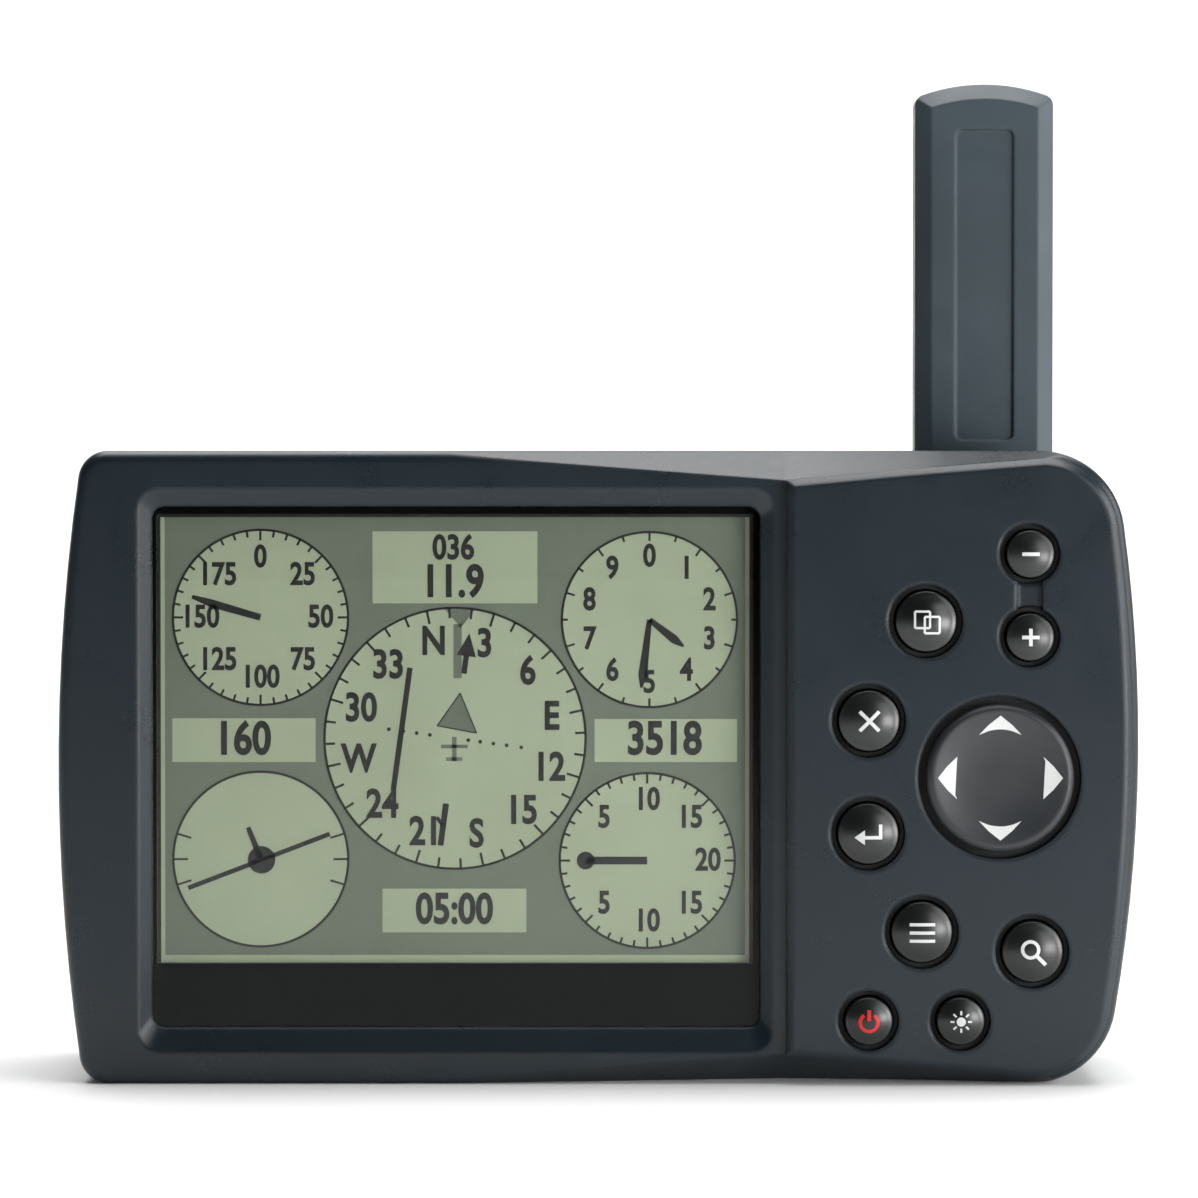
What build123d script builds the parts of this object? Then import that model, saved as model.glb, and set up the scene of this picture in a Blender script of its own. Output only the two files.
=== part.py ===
from build123d import *
import os

# Portable aviation GPS receiver, millimetres.
# X runs to the right of the front face, Y runs to the back, Z runs up.
# The origin is on the flat base, on the body's centre line.

# --- body shell ---
BODY_W = 145.0
BODY_H = 85.0
BODY_D = 45.0
FRONT_Y = -24.0
BACK_Y = FRONT_Y + BODY_D
LEFT = -BODY_W / 2
RIGHT = BODY_W / 2
MID_Z = BODY_H / 2
LEFT_BOW = 3.3
RIGHT_BOW_TOP = 3.6
RIGHT_BOW_BASE = 4.9
CORNER_R_LEFT = 4.0
CORNER_R_RIGHT = 11.5
WALL = 2.4
FRONT_EDGE_R = 1.5
BACK_EDGE_R = 2.5
SEAM_BEHIND_FRONT = 15.0
SEAM_Y = FRONT_Y + SEAM_BEHIND_FRONT

# --- raised keypad plateau and the scooped facets above and below it ---
BEZEL_STEP = 2.0
BEZEL_Y = FRONT_Y + BEZEL_STEP
PLATEAU_FROM_RIGHT = 47.3
PLATEAU_X = RIGHT - PLATEAU_FROM_RIGHT
PLATEAU_INSET = 1.0
PLATEAU_EDGE = 0.9
PLATEAU_WALL = 3.0
PLATEAU_SIDE_WALL = 0.6
KEYPAD_IN_Y = FRONT_Y + PLATEAU_WALL
FACET_START_LEFT = 45.0
FACET_MAX = 4.0
FACET_MIN = 0.9
FACET_DEPTH = 7.5
FACET_MID = 2.5
FACET_MID_RUN = 16.0
FACET_END_RUN = 36.0
FACET_SEED_W = 0.02
FACET_SEED_DEPTH = 0.05
FACET_MID_SHARE = 0.8
FACET_END_SHARE = 0.3
FACET_FORWARD = 3.0
FACET_REACH = 8.0

# --- display window, mask and recess ---
WINDOW_FROM_LEFT = 12.7
WINDOW_W = 81.4
WINDOW_H = 69.8
WINDOW_R = 1.6
WINDOW_T = 1.5
WINDOW_GAP = 0.12
RECESS_DEPTH = 1.7
RECESS_SIDE = 1.8
RECESS_TOP = 2.4
RECESS_BASE = 3.2
RECESS_OVER = 1.3
RECESS_CORNER = 1.4
MASK_T = 0.2
VIEW_W = 80.2
VIEW_H = 60.5
VIEW_SIDE = 0.4
VIEW_TOP = 0.9
LEDGE = 0.5
LEDGE_T = 1.2
WINDOW_X0 = LEFT + WINDOW_FROM_LEFT
WINDOW_CZ = MID_Z
WINDOW_Y = BEZEL_Y + RECESS_DEPTH
MASK_Y = WINDOW_Y + WINDOW_T
LEDGE_Y = MASK_Y + MASK_T
SCREEN_IN_Y = LEDGE_Y + LEDGE_T
VIEW_X0 = WINDOW_X0 + VIEW_SIDE
VIEW_X1 = VIEW_X0 + VIEW_W
VIEW_Z1 = WINDOW_CZ + WINDOW_H / 2 - VIEW_TOP
VIEW_Z0 = VIEW_Z1 - VIEW_H

# --- LCD stack behind the window ---
LCD_BORDER = 2.2
LCD_T = 2.2
LCD_GAP = 0.15
GUIDE_T = 2.4
REFLECTOR_T = 0.3
FRAME_T = 0.9
FRAME_LIP = 2.5
FRAME_LIP_T = 0.35
LCD_Y = SCREEN_IN_Y + LCD_GAP
GUIDE_Y = LCD_Y + LCD_T
REFLECTOR_Y = GUIDE_Y + GUIDE_T
FRAME_END_Y = REFLECTOR_Y + REFLECTOR_T
LCD_X0 = VIEW_X0 - LCD_BORDER
LCD_X1 = VIEW_X1 + LCD_BORDER
LCD_Z0 = VIEW_Z0 - LCD_BORDER
LCD_Z1 = VIEW_Z1 + LCD_BORDER
FLEX_W = 25.0
FLEX_T = 0.2
FLEX_DROP = 4.0
FLEX_FROM_VIEW = 24.0
FLEX_CONNECTOR_T = 0.8
FLEX_CONNECTOR_HALF = 1.4

# --- main board ---
BOARD_T = 1.6
BOARD_GAP = 0.45
BOARD_INSET = 3.0
BOARD_Y = FRAME_END_Y + FRAME_LIP_T + BOARD_GAP
BOARD_BACK_Y = BOARD_Y + BOARD_T
BOSS_R = 1.9
BOSS_GAP = 0.3
BOARD_SCREW_R = 0.8
BOARD_SCREW_HEAD_R = 1.6
BOARD_SCREW_HEAD_T = 0.9
SCREW_BITE = 3.2
SCREW_CLEAR = 0.1
SCREW_TIP_GAP = 0.3
SLOT_DEPTH = 0.4
SLOT_HALF_W = 0.2
SLOT_HALF_L = 1.0
BOARD_SCREW_SIDE = 6.3
BOARD_SCREW_RIGHT_SIDE = 4.5
BOARD_SCREW_SPREAD = 8.0
CAN_W = 33.0
CAN_H = 35.0
CAN_T = 3.4
CAN_WALL = 0.35
CHIP_T = 1.3
CHIP_SIZES = (
    (14.0, 14.0, -7.0, 6.0),
    (9.0, 7.0, 9.0, 8.0),
    (8.0, 12.0, 9.0, -8.0),
    (10.0, 6.0, -8.0, -10.0),
)
CELL_BACKUP_R = 6.2
CELL_BACKUP_T = 2.1
BEEPER_R = 6.0
BEEPER_T = 3.6
BACKUP_FROM_LEFT = 52.5
BEEPER_FROM_LEFT = 26.5
TOP_PARTS_Z = BODY_H - 17.0
RF_CONNECTOR_R = 1.7
RF_CONNECTOR_T = 1.6

# --- case screws ---
CASE_BOSS_R = 2.7
CASE_SCREW_R = 1.0
CASE_SCREW_HEAD_R = 2.2
CASE_SCREW_HEAD_T = 1.6
CASE_SCREW_BITE = 6.0
CROSS_L = 2.6
CROSS_W = 0.5
CROSS_DEPTH = 0.8
CASE_SEAT = 6.4
CASE_HEAD_CLEAR = 0.3
CASE_COLUMN_R = 3.6
CASE_SEAT_Y = SEAM_Y + CASE_SEAT
CASE_CORNER_LEFT = 6.4
CASE_CORNER_TOP = 4.6
CASE_CORNER_BASE = 4.9
CASE_MID_RAISE = 0.6
CASE_RIGHT_TOP = (8.6, 8.7)
CASE_RIGHT_BASE = (9.3, 7.7)
CASE_POINTS = (
    (LEFT + CASE_CORNER_LEFT, BODY_H - CASE_CORNER_TOP),
    (LEFT + CASE_CORNER_LEFT, CASE_CORNER_BASE),
    (PLATEAU_X + CASE_BOSS_R, BODY_H - CASE_CORNER_BASE - CASE_MID_RAISE),
    (PLATEAU_X + CASE_BOSS_R, CASE_CORNER_BASE + CASE_MID_RAISE),
    (RIGHT - CASE_RIGHT_TOP[0], BODY_H - CASE_RIGHT_TOP[1]),
    (RIGHT - CASE_RIGHT_BASE[0], CASE_RIGHT_BASE[1]),
)

# --- rocker pad, the centre of the keypad ---
ROCKER_X = RIGHT - 18.8
ROCKER_Z = MID_Z - 1.2
ROCKER_R = 9.9
ROCKER_GAP = 1.0
ROCKER_PROUD = 1.1
ROCKER_T = 1.8
ROCKER_BEVEL = 0.8
ROCKER_DISH = 0.6
ROCKER_DISH_STEPS = ((0.74, 0.35), (0.45, 0.85))
ROCKER_WELL_DEPTH = 1.7
STEM_R = 2.6
STEM_HOLE_GAP = 3.9
PIVOT_BACK = 4.1
PIVOT_Y = FRONT_Y + PIVOT_BACK
GIMBAL_IN_GAP = 0.7
GIMBAL_WALL = 1.6
GIMBAL_HALF_T = 0.7
GIMBAL_OUT_GAP = 0.7
GIMBAL_R = STEM_R + GIMBAL_IN_GAP + GIMBAL_WALL
CARRIER_IN_R = GIMBAL_R + GIMBAL_OUT_GAP
CARRIER_WALL = 2.8
CARRIER_R = CARRIER_IN_R + CARRIER_WALL
CARRIER_T = 2.1
PIN_R = 0.5
PIN_CLEAR = 0.05
PIN_BITE = 1.3
PIN_SHORT = 0.3
PIN_ROOT = 0.6
PIN_END_GAP = 0.2
ACTUATOR_T = 0.5
ACTUATOR_W = 2.4
ACTUATOR_GAP = 0.3
ACTUATOR_SIDE_GAP = 0.3
STEM_END_Y = KEYPAD_IN_Y + CARRIER_T + ACTUATOR_GAP

# --- push keys: name, offset from the rocker centre, large or small ---
KEY_R = 4.1
KEY_SMALL_R = 3.2
KEY_WELL_GAP = 0.85
KEY_WELL_DEPTH = 1.5
KEY_HOLE_GAP = 0.2
KEY_PROUD = 1.3
KEY_CROWN_RATIO = 1.7
KEY_RIM = 0.4
KEY_FLANGE_CLEAR = 0.25
KEY_FLANGE_GAP = 0.05
KEY_FLANGE_W = 0.75
KEY_FLANGE_T = 0.8
KEY_TRAVEL = 0.8
KEY_PLUNGER_R = 1.6
MAT_T = 1.0
MAT_INSET = 0.6
MAT_HOLE_GAP = 0.5
DOME_R = 2.2
DOME_T = 0.4
DOME_SMALL_R = 1.54
DOME_SHOULDER_R = 0.75
DOME_SHOULDER_T = 0.7
DOME_FROM_CARRIER = 1.0
DOME_GAP = 0.05
KEYS = {
    "key_zoom_out": (4.0, 29.9, KEY_SMALL_R),
    "key_zoom_in": (4.0, 18.8, KEY_SMALL_R),
    "key_page": (-9.9, 20.9, KEY_R),
    "key_quit": (-17.5, 7.6, KEY_R),
    "key_enter": (-17.6, -7.5, KEY_R),
    "key_menu": (-10.4, -20.7, KEY_R),
    "key_find": (4.4, -23.3, KEY_R),
    "key_power": (-17.5, -32.6, KEY_SMALL_R),
    "key_display": (-5.2, -32.6, KEY_SMALL_R),
}
ZOOM_GROOVE_W = 3.4
ZOOM_GROOVE_DEPTH = 0.8
FLANGE_Y = KEYPAD_IN_Y + KEY_FLANGE_GAP
KEYPAD_BOARD_Y = FRONT_Y + 6.8
PLUNGER_END_Y = KEYPAD_BOARD_Y - DOME_T - DOME_GAP - KEY_TRAVEL
KEYPAD_BOARD_T = 1.4
KEYPAD_EDGE = 6.9
KEYPAD_BASE = 4.6
KEYPAD_TOP = 5.0
KEYPAD_START = PLATEAU_X + 3.6
KEYPAD_SIDE_GAP = 0.5
KEYPAD_SCREWS = ((-23.2, -29.0), (-23.2, 30.6), (9.9, 24.6), (9.9, -13.4))
LINK_W = 4.0
LINK_H = 16.0
LINK_FROM_ROCKER = 7.6

# --- battery bay: six cells in two rows of three, axes along X ---
AA_R = 7.1
AA_L = 49.5
AA_NUB_R = 2.7
AA_NUB_L = 1.0
AA_ROW_GAP = 0.8
AA_PITCH = 2 * AA_R + AA_ROW_GAP
CONTACT_T = 0.4
CONTACT_SPRING = 0.9
CONTACT_HALF = 6.0
SPRING_BASE_R = 4.6
SPRING_TIP_R = 2.4
MID_CONTACT_T = 0.8
BAY_FROM_LEFT = 9.5
BAY_CZ = MID_Z - 9.5
BAY_SIDE_GAP = 1.2
BAY_WALL = 1.8
BAY_X0 = LEFT + BAY_FROM_LEFT
CELL_L = AA_L + AA_NUB_L
CELL_X0 = BAY_X0 + CONTACT_T + CONTACT_SPRING
CELL_X1 = CELL_X0 + CELL_L + MID_CONTACT_T
BAY_X1 = CELL_X1 + CELL_L + CONTACT_T + CONTACT_SPRING
BAY_H = 2 * AA_PITCH + 2 * AA_R + 2 * BAY_SIDE_GAP
BAY_Z0 = BAY_CZ - BAY_H / 2
BAY_Z1 = BAY_CZ + BAY_H / 2

# --- battery door, its seal, latch and ring ---
DOOR_T = 2.4
SEAL_T = 1.0
SEAL_W = 0.8
SEAL_INSET = 0.2
SEAL_CORNER_R = 1.0
DOOR_GAP = 0.2
DOOR_LEDGE_LEFT = 1.8
DOOR_LEDGE = 1.4
DOOR_R = 2.0
LATCH_FROM_BAY = 7.0
LATCH_EDGE = 6.4
DOOR_X0 = BAY_X0 - DOOR_LEDGE_LEFT
LATCH_X = BAY_X1 + LATCH_FROM_BAY
DOOR_X1 = LATCH_X + LATCH_EDGE
DOOR_Z0 = BAY_Z0 - DOOR_LEDGE
DOOR_Z1 = BAY_Z1 + DOOR_LEDGE
DOOR_Y = BACK_Y - DOOR_T
SEAT_Y = DOOR_Y - SEAL_T
CELL_TOP_GAP = 0.7
CELL_FLOOR_GAP = 0.25
CELL_Y = DOOR_Y - CELL_TOP_GAP - AA_R
BAY_FLOOR_Y = CELL_Y - AA_R - CELL_FLOOR_GAP
TAB_L = 1.6
TAB_T = 1.0
TAB_W = 7.0
TAB_SPREAD = 13.0
TAB_GAP = 0.5
TAB_RISE = 0.3
LATCH_HEAD_R = 5.4
LATCH_HEAD_T = 0.9
LATCH_STEM_R = 2.4
LATCH_BAR_HALF = 3.6
LATCH_BAR_W = 2.4
LATCH_BAR_T = 1.4
LATCH_BAR_DROP = 3.6
LATCH_WELL_R = 4.6
LATCH_WELL_DEPTH = 4.4
LATCH_CLEAR = 0.15
LUG_W = 1.8
LUG_H = 2.0
LUG_ROOT = 0.2
LUG_COVER = 0.4
LUG_SIDE_GAP = 0.3
RING_WIRE_R = 0.7
RING_HALF = 3.6
RING_REACH = 9.0
RING_HINGE_IN = 2.0
RING_GAP = 0.1
RING_RISE = RING_WIRE_R * 2 ** 0.5 + RING_GAP
RING_CORNER_R = 0.84
RING_EYE = 2.1
GRIP_COUNT = 5
GRIP_PITCH = 3.0
GRIP_W = 1.2
GRIP_L = 26.0
GRIP_DEPTH = 0.5

# --- data card beside the bay ---
CARD_T = 2.0
CARD_FROM_LATCH = 0.2
CARD_FROM_BAY_TOP = 1.0
CARD_TO_CAN = 26.68
CARD_W = 13.0
CARD_L = 20.0
CARD_GAP = 0.15
CARD_POCKET_W = 7.4
CARD_POCKET_MARGIN = 1.2
CARD_POCKET_DEPTH = 8.0
CARD_GRIP = 3.2
CARD_Z = BAY_Z1 - CARD_W / 2 - CARD_FROM_BAY_TOP
CARD_X = LATCH_X - CARD_FROM_LATCH
CAN_CX = CARD_X - CARD_TO_CAN
CARD_FLOOR_Y = SEAT_Y - CARD_POCKET_DEPTH
CARD_END_Y = CARD_FLOOR_Y + CARD_GRIP
SLOT_BODY_W = 5.0
SLOT_BODY_H = 15.2
SLOT_BODY_L = 13.0

# --- antenna step in the back, jack and nut ---
ANT_X = RIGHT - 17.7
ANT_Z = BODY_H - 13.0
STEP_DEPTH = 8.0
STEP_LEFT = 12.0
STEP_BELOW = 10.6
STEP_Y = BACK_Y - STEP_DEPTH
JACK_FLANGE_T = 1.4
JACK_BARREL_R = 4.8
JACK_THREAD_R = JACK_BARREL_R - 0.05
JACK_CLEAR = 0.1
JACK_COLUMN_GAP = 0.05
JACK_FLANGE_R = JACK_BARREL_R + 1.6
JACK_NUT_AF = 2 * JACK_BARREL_R + 3.0
JACK_NUT_T = 2.0
JACK_WALL = 0.7
JACK_BORE_R = JACK_BARREL_R - JACK_WALL
JACK_BARREL_END = 8.3
JACK_LUG_R = 0.9
JACK_LUG_H = 0.7
JACK_LUG_ROOT = 0.2
SNUG_GAP = 0.02
NUT_SIDES = 6
JACK_LUG_BACK = 1.9
JACK_PIN_R = 0.6
JACK_PIN_L = 3.0
INSULATOR_T = 2.4

# --- antenna: collar, elbow, hinge pin, knuckle and paddle ---
COLLAR_LUG_GAP = 0.4
COLLAR_WALL = 1.3
COLLAR_NUT_GAP = 0.6
COLLAR_BORE_R = JACK_BARREL_R + JACK_LUG_H + COLLAR_LUG_GAP
COLLAR_R = COLLAR_BORE_R + COLLAR_WALL
COLLAR_Y0 = STEP_Y + JACK_NUT_T + COLLAR_NUT_GAP
COLLAR_L = 6.4
COLLAR_FLUTES = 18
COLLAR_FLUTE_R = 0.55
COLLAR_FLUTE_OUT = 0.15
COLLAR_FLUTE_START = 1.0
COLLAR_FLUTE_STOP = 0.8
ELBOW_GAP = 0.2
ELBOW_PLATE_Y = COLLAR_Y0 + COLLAR_L + ELBOW_GAP
ELBOW_PLATE_T = 1.0
ELBOW_STEM_GAP = 0.25
ELBOW_STEM_R = JACK_BORE_R - ELBOW_STEM_GAP
ELBOW_STEM_L = 3.2
ELBOW_HUB_GAP = 0.3
ELBOW_HUB_R = COLLAR_BORE_R - ELBOW_HUB_GAP
ELBOW_HUB_MIN = 0.1
ELBOW_CORNER_R = 1.2
ELBOW_PIN_GAP = 0.3
ELBOW_PIN_DEPTH = 2.0
PADDLE_W = 19.6
EAR_R = 5.5
EAR_IN = 3.8
EAR_FROM_SIDE = 1.4
EAR_OUT = PADDLE_W / 2 - EAR_FROM_SIDE
HINGE_RISE = 5.1
HINGE_Y = ELBOW_PLATE_Y + ELBOW_PLATE_T + HINGE_RISE
KNUCKLE_R = 4.9
KNUCKLE_GAP = 0.2
HINGE_PIN_R = 1.2
PADDLE_T = 9.2
PADDLE_ABOVE_BODY = 52.0
PADDLE_TOP = BODY_H + PADDLE_ABOVE_BODY
PADDLE_BOTTOM_GAP = 0.6
PADDLE_ARCH = 1.9
PADDLE_CORNER_R = 1.6
PADDLE_BEVEL_W = 2.2
PADDLE_BEVEL_T = 2.0
PADDLE_BACK_EDGE = 1.6
PADDLE_WALL = 1.7
PADDLE_HEAD = 5.1
PADDLE_RECESS_W = 8.2
PADDLE_RECESS_L = 44.0
PADDLE_RECESS_DEPTH = 0.5
PADDLE_RECESS_TOP = 4.6
PADDLE_RECESS_R = 1.0
PADDLE_Z0 = ANT_Z + EAR_R + PADDLE_BOTTOM_GAP
PADDLE_Y0 = HINGE_Y - PADDLE_T / 2
PADDLE_SPLIT_Y = PADDLE_Y0 + PADDLE_T / 2
KNUCKLE_ROOT = 9.0
ROOT_GAP = 0.1
ROOT_SIDE_GAP = 0.05
ROOT_END_GAP = 0.3
ELEMENT_SIDE_GAP = 1.0
ELEMENT_W = PADDLE_W - 2 * PADDLE_BEVEL_W - 2 * ELEMENT_SIDE_GAP
ELEMENT_H = 32.0
ELEMENT_T = 3.2
ELEMENT_GAP = 0.4

# --- internal coax from the jack to the board ---
COAX_R = 0.6
COAX_DROP = 8.0
COAX_RUN = 18.0
COAX_SHARE = 0.45

# --- data and power socket in the back ---
SOCKET_X = RIGHT - 10.2
SOCKET_Z = MID_Z - 8.0
SOCKET_R = 5.9
SOCKET_FLANGE_R = SOCKET_R + 1.0
SOCKET_FLANGE_T = 0.8
SOCKET_BORE_R = 4.6
SOCKET_BORE_L = 4.0
SOCKET_INNER_R = 4.2
SOCKET_INNER_L = 3.6
SOCKET_FLOOR_T = 1.6
SOCKET_CLEAR = 0.1
SOCKET_NUT_R = SOCKET_R + 0.6
SOCKET_NUT_T = 2.0
SOCKET_PINS = 4
SOCKET_PIN_R = 0.45
SOCKET_PIN_PCD = 4.4
SOCKET_PIN_SHORT = 0.3
SOCKET_PIN_TAIL = 1.5
SOCKET_PIN_TURN = 45

# --- bracket pockets in the back ---
POCKET_W = 12.0
POCKET_H = 7.0
POCKET_DEPTH = 5.5
POCKET_R = 1.0
POCKET_WALL = 1.6
POCKET_FROM_LEFT = (28.5, 80.5)
POCKET_X = [LEFT + inset for inset in POCKET_FROM_LEFT]
POCKET_Z = BODY_H - 16.0

# --- housing gasket ---
GASKET_INSET = 0.75
GASKET_W = 0.9
GASKET_T = 1.0
GASKET_GAP = 0.05

# --- cuts: longer than any piece, and a short overlap between two cuts ---
BIG = 400.0
CUT_OVER = 0.01


def facing(y):
    """Plane at a depth, with X to the right and Z up, that looks out of the front."""
    return Plane(origin=(0, y, 0), x_dir=(1, 0, 0), z_dir=(0, -1, 0))


def slab(face, y_low, y_high):
    """Extrude a face drawn in X and Z between two depths."""
    return extrude(facing(y_high) * face, amount=y_high - y_low)


def rod(x, z, radius, y_low, y_high):
    """Round bar along Y."""
    return slab(Pos(x, z) * Circle(radius), y_low, y_high)


def rod_x(y, z, radius, x_low, x_high):
    """Round bar along X."""
    bar = Cylinder(radius, x_high - x_low, rotation=(0, 90, 0))
    return Pos((x_low + x_high) / 2, y, z) * bar


def block(x_low, x_high, y_low, y_high, z_low, z_high):
    """Rectangular block from its limits."""
    size = Box(x_high - x_low, y_high - y_low, z_high - z_low)
    return Pos((x_low + x_high) / 2, (y_low + y_high) / 2, (z_low + z_high) / 2) * size


def plate(x_low, x_high, z_low, z_high, radius, y_low, y_high):
    """Rectangular plate with rounded corners, seen along Y."""
    face = RectangleRounded(x_high - x_low, z_high - z_low, radius)
    return slab(Pos((x_low + x_high) / 2, (z_low + z_high) / 2) * face, y_low, y_high)


def turned(points, x, z):
    """Revolve a closed profile of (radius, Y) points about a Y axis."""
    return Pos(x, 0, z) * revolve(make_face(Polyline(points, close=True)), Axis.Y)


def group(solids):
    """Keep separate solids together in one node."""
    return Compound(children=[solid.solid() for solid in solids])


def body_outline(inset=0.0):
    """Front view of the body: bowed sides, small left corners, large right corners."""
    left = ThreePointArc((LEFT + LEFT_BOW, 0), (LEFT, MID_Z), (LEFT + LEFT_BOW, BODY_H))
    top = Line((LEFT + LEFT_BOW, BODY_H), (RIGHT - RIGHT_BOW_TOP, BODY_H))
    right = ThreePointArc((RIGHT - RIGHT_BOW_TOP, BODY_H), (RIGHT, MID_Z), (RIGHT - RIGHT_BOW_BASE, 0))
    base = Line((RIGHT - RIGHT_BOW_BASE, 0), (LEFT + LEFT_BOW, 0))
    face = make_face(left + top + right + base)
    face = fillet(face.vertices().sort_by(Axis.X)[:2], CORNER_R_LEFT)
    face = fillet(face.vertices().sort_by(Axis.X)[-2:], CORNER_R_RIGHT)
    if inset > 0:
        face = offset(face, amount=-inset)
    return face


def key_place(name):
    """Centre and cap radius of a key."""
    dx, dz, radius = KEYS[name]
    return ROCKER_X + dx, ROCKER_Z + dz, radius


def screw_places(offsets):
    """Turn offsets from the rocker centre into X and Z."""
    return [(ROCKER_X + dx, ROCKER_Z + dz) for dx, dz in offsets]


def board_screw_places():
    """Screws that hold the main board, two at each side."""
    left = LEFT + BOARD_SCREW_SIDE
    right = RIGHT - BOARD_SCREW_RIGHT_SIDE
    low, high = MID_Z - BOARD_SCREW_SPREAD, MID_Z + BOARD_SCREW_SPREAD
    return [(left, low), (left, high), (right, low), (right, high)]


def plateau_face():
    """Outline of the raised keypad area."""
    low = FACET_MAX
    mid = FACET_MID
    end = FACET_MIN
    x0 = PLATEAU_X
    x1 = x0 + FACET_MID_RUN
    x2 = x0 + FACET_END_RUN
    region = Polyline(
        (x0, low), (x1, mid), (x2, end), (BIG, end), (BIG, BODY_H - end),
        (x2, BODY_H - end), (x1, BODY_H - mid), (x0, BODY_H - low), close=True)
    return body_outline(PLATEAU_INSET) & make_face(region)


def facet_section(x, width, depth, z_edge, outward):
    """Triangle across the body's edge: the line of the facet, and a point outside."""
    grow = 1.0
    start = (BEZEL_Y - grow * depth, z_edge - outward * (width + grow * width))
    end = (BEZEL_Y + depth * (1 + grow), z_edge + outward * grow * width)
    out = (BEZEL_Y - FACET_FORWARD * depth, z_edge + outward * (FACET_REACH + width))
    plane = Plane(origin=(x, 0, 0), x_dir=(0, 1, 0), z_dir=(1, 0, 0))
    return plane * make_face(Polyline(start, end, out, close=True))


def facets():
    """Scooped facets that grow to the plateau's edge and fade again beyond it."""
    cuts = []
    x_start = LEFT + FACET_START_LEFT
    stations = (
        (x_start, FACET_SEED_W, FACET_SEED_DEPTH),
        (PLATEAU_X, FACET_MAX, FACET_DEPTH),
        (PLATEAU_X + FACET_MID_RUN, FACET_MID, FACET_DEPTH * FACET_MID_SHARE),
        (PLATEAU_X + FACET_END_RUN, FACET_MIN, FACET_DEPTH * FACET_END_SHARE),
        (RIGHT + 2, FACET_SEED_W, FACET_SEED_DEPTH),
    )
    for z_edge, outward in ((BODY_H, 1), (0.0, -1)):
        for first, second in zip(stations, stations[1:]):
            sections = [facet_section(*station, z_edge, outward) for station in (first, second)]
            cuts.append(loft(sections, ruled=True))
    return cuts


def recess_cut():
    """Tapered pocket of the bezel, down to the window."""
    x0, x1 = WINDOW_X0, WINDOW_X0 + WINDOW_W
    z0, z1 = WINDOW_CZ - WINDOW_H / 2, WINDOW_CZ + WINDOW_H / 2
    grow = RECESS_OVER
    depth = RECESS_DEPTH * grow
    wide = x1 - x0 + 2 * RECESS_SIDE * grow
    high = z1 - z0 + (RECESS_TOP + RECESS_BASE) * grow
    centre_z = (z0 - RECESS_BASE * grow + z1 + RECESS_TOP * grow) / 2
    outer = Pos((x0 + x1) / 2, centre_z) * RectangleRounded(wide, high, WINDOW_R + RECESS_CORNER)
    inner = Pos((x0 + x1) / 2, (z0 + z1) / 2) * RectangleRounded(
        x1 - x0 + 2 * WINDOW_GAP, z1 - z0 + 2 * WINDOW_GAP, WINDOW_R + WINDOW_GAP)
    return loft([facing(WINDOW_Y - depth) * outer, facing(WINDOW_Y) * inner], ruled=True)


def gasket_ring(extra):
    """Ring along the seam, drawn in X and Z."""
    return body_outline(GASKET_INSET - extra) - body_outline(GASKET_INSET + GASKET_W + extra)


def seam_groove():
    """Groove shared by the two housings."""
    half = GASKET_T / 2 + GASKET_GAP
    return slab(gasket_ring(GASKET_GAP), SEAM_Y - half, SEAM_Y + half)


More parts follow.
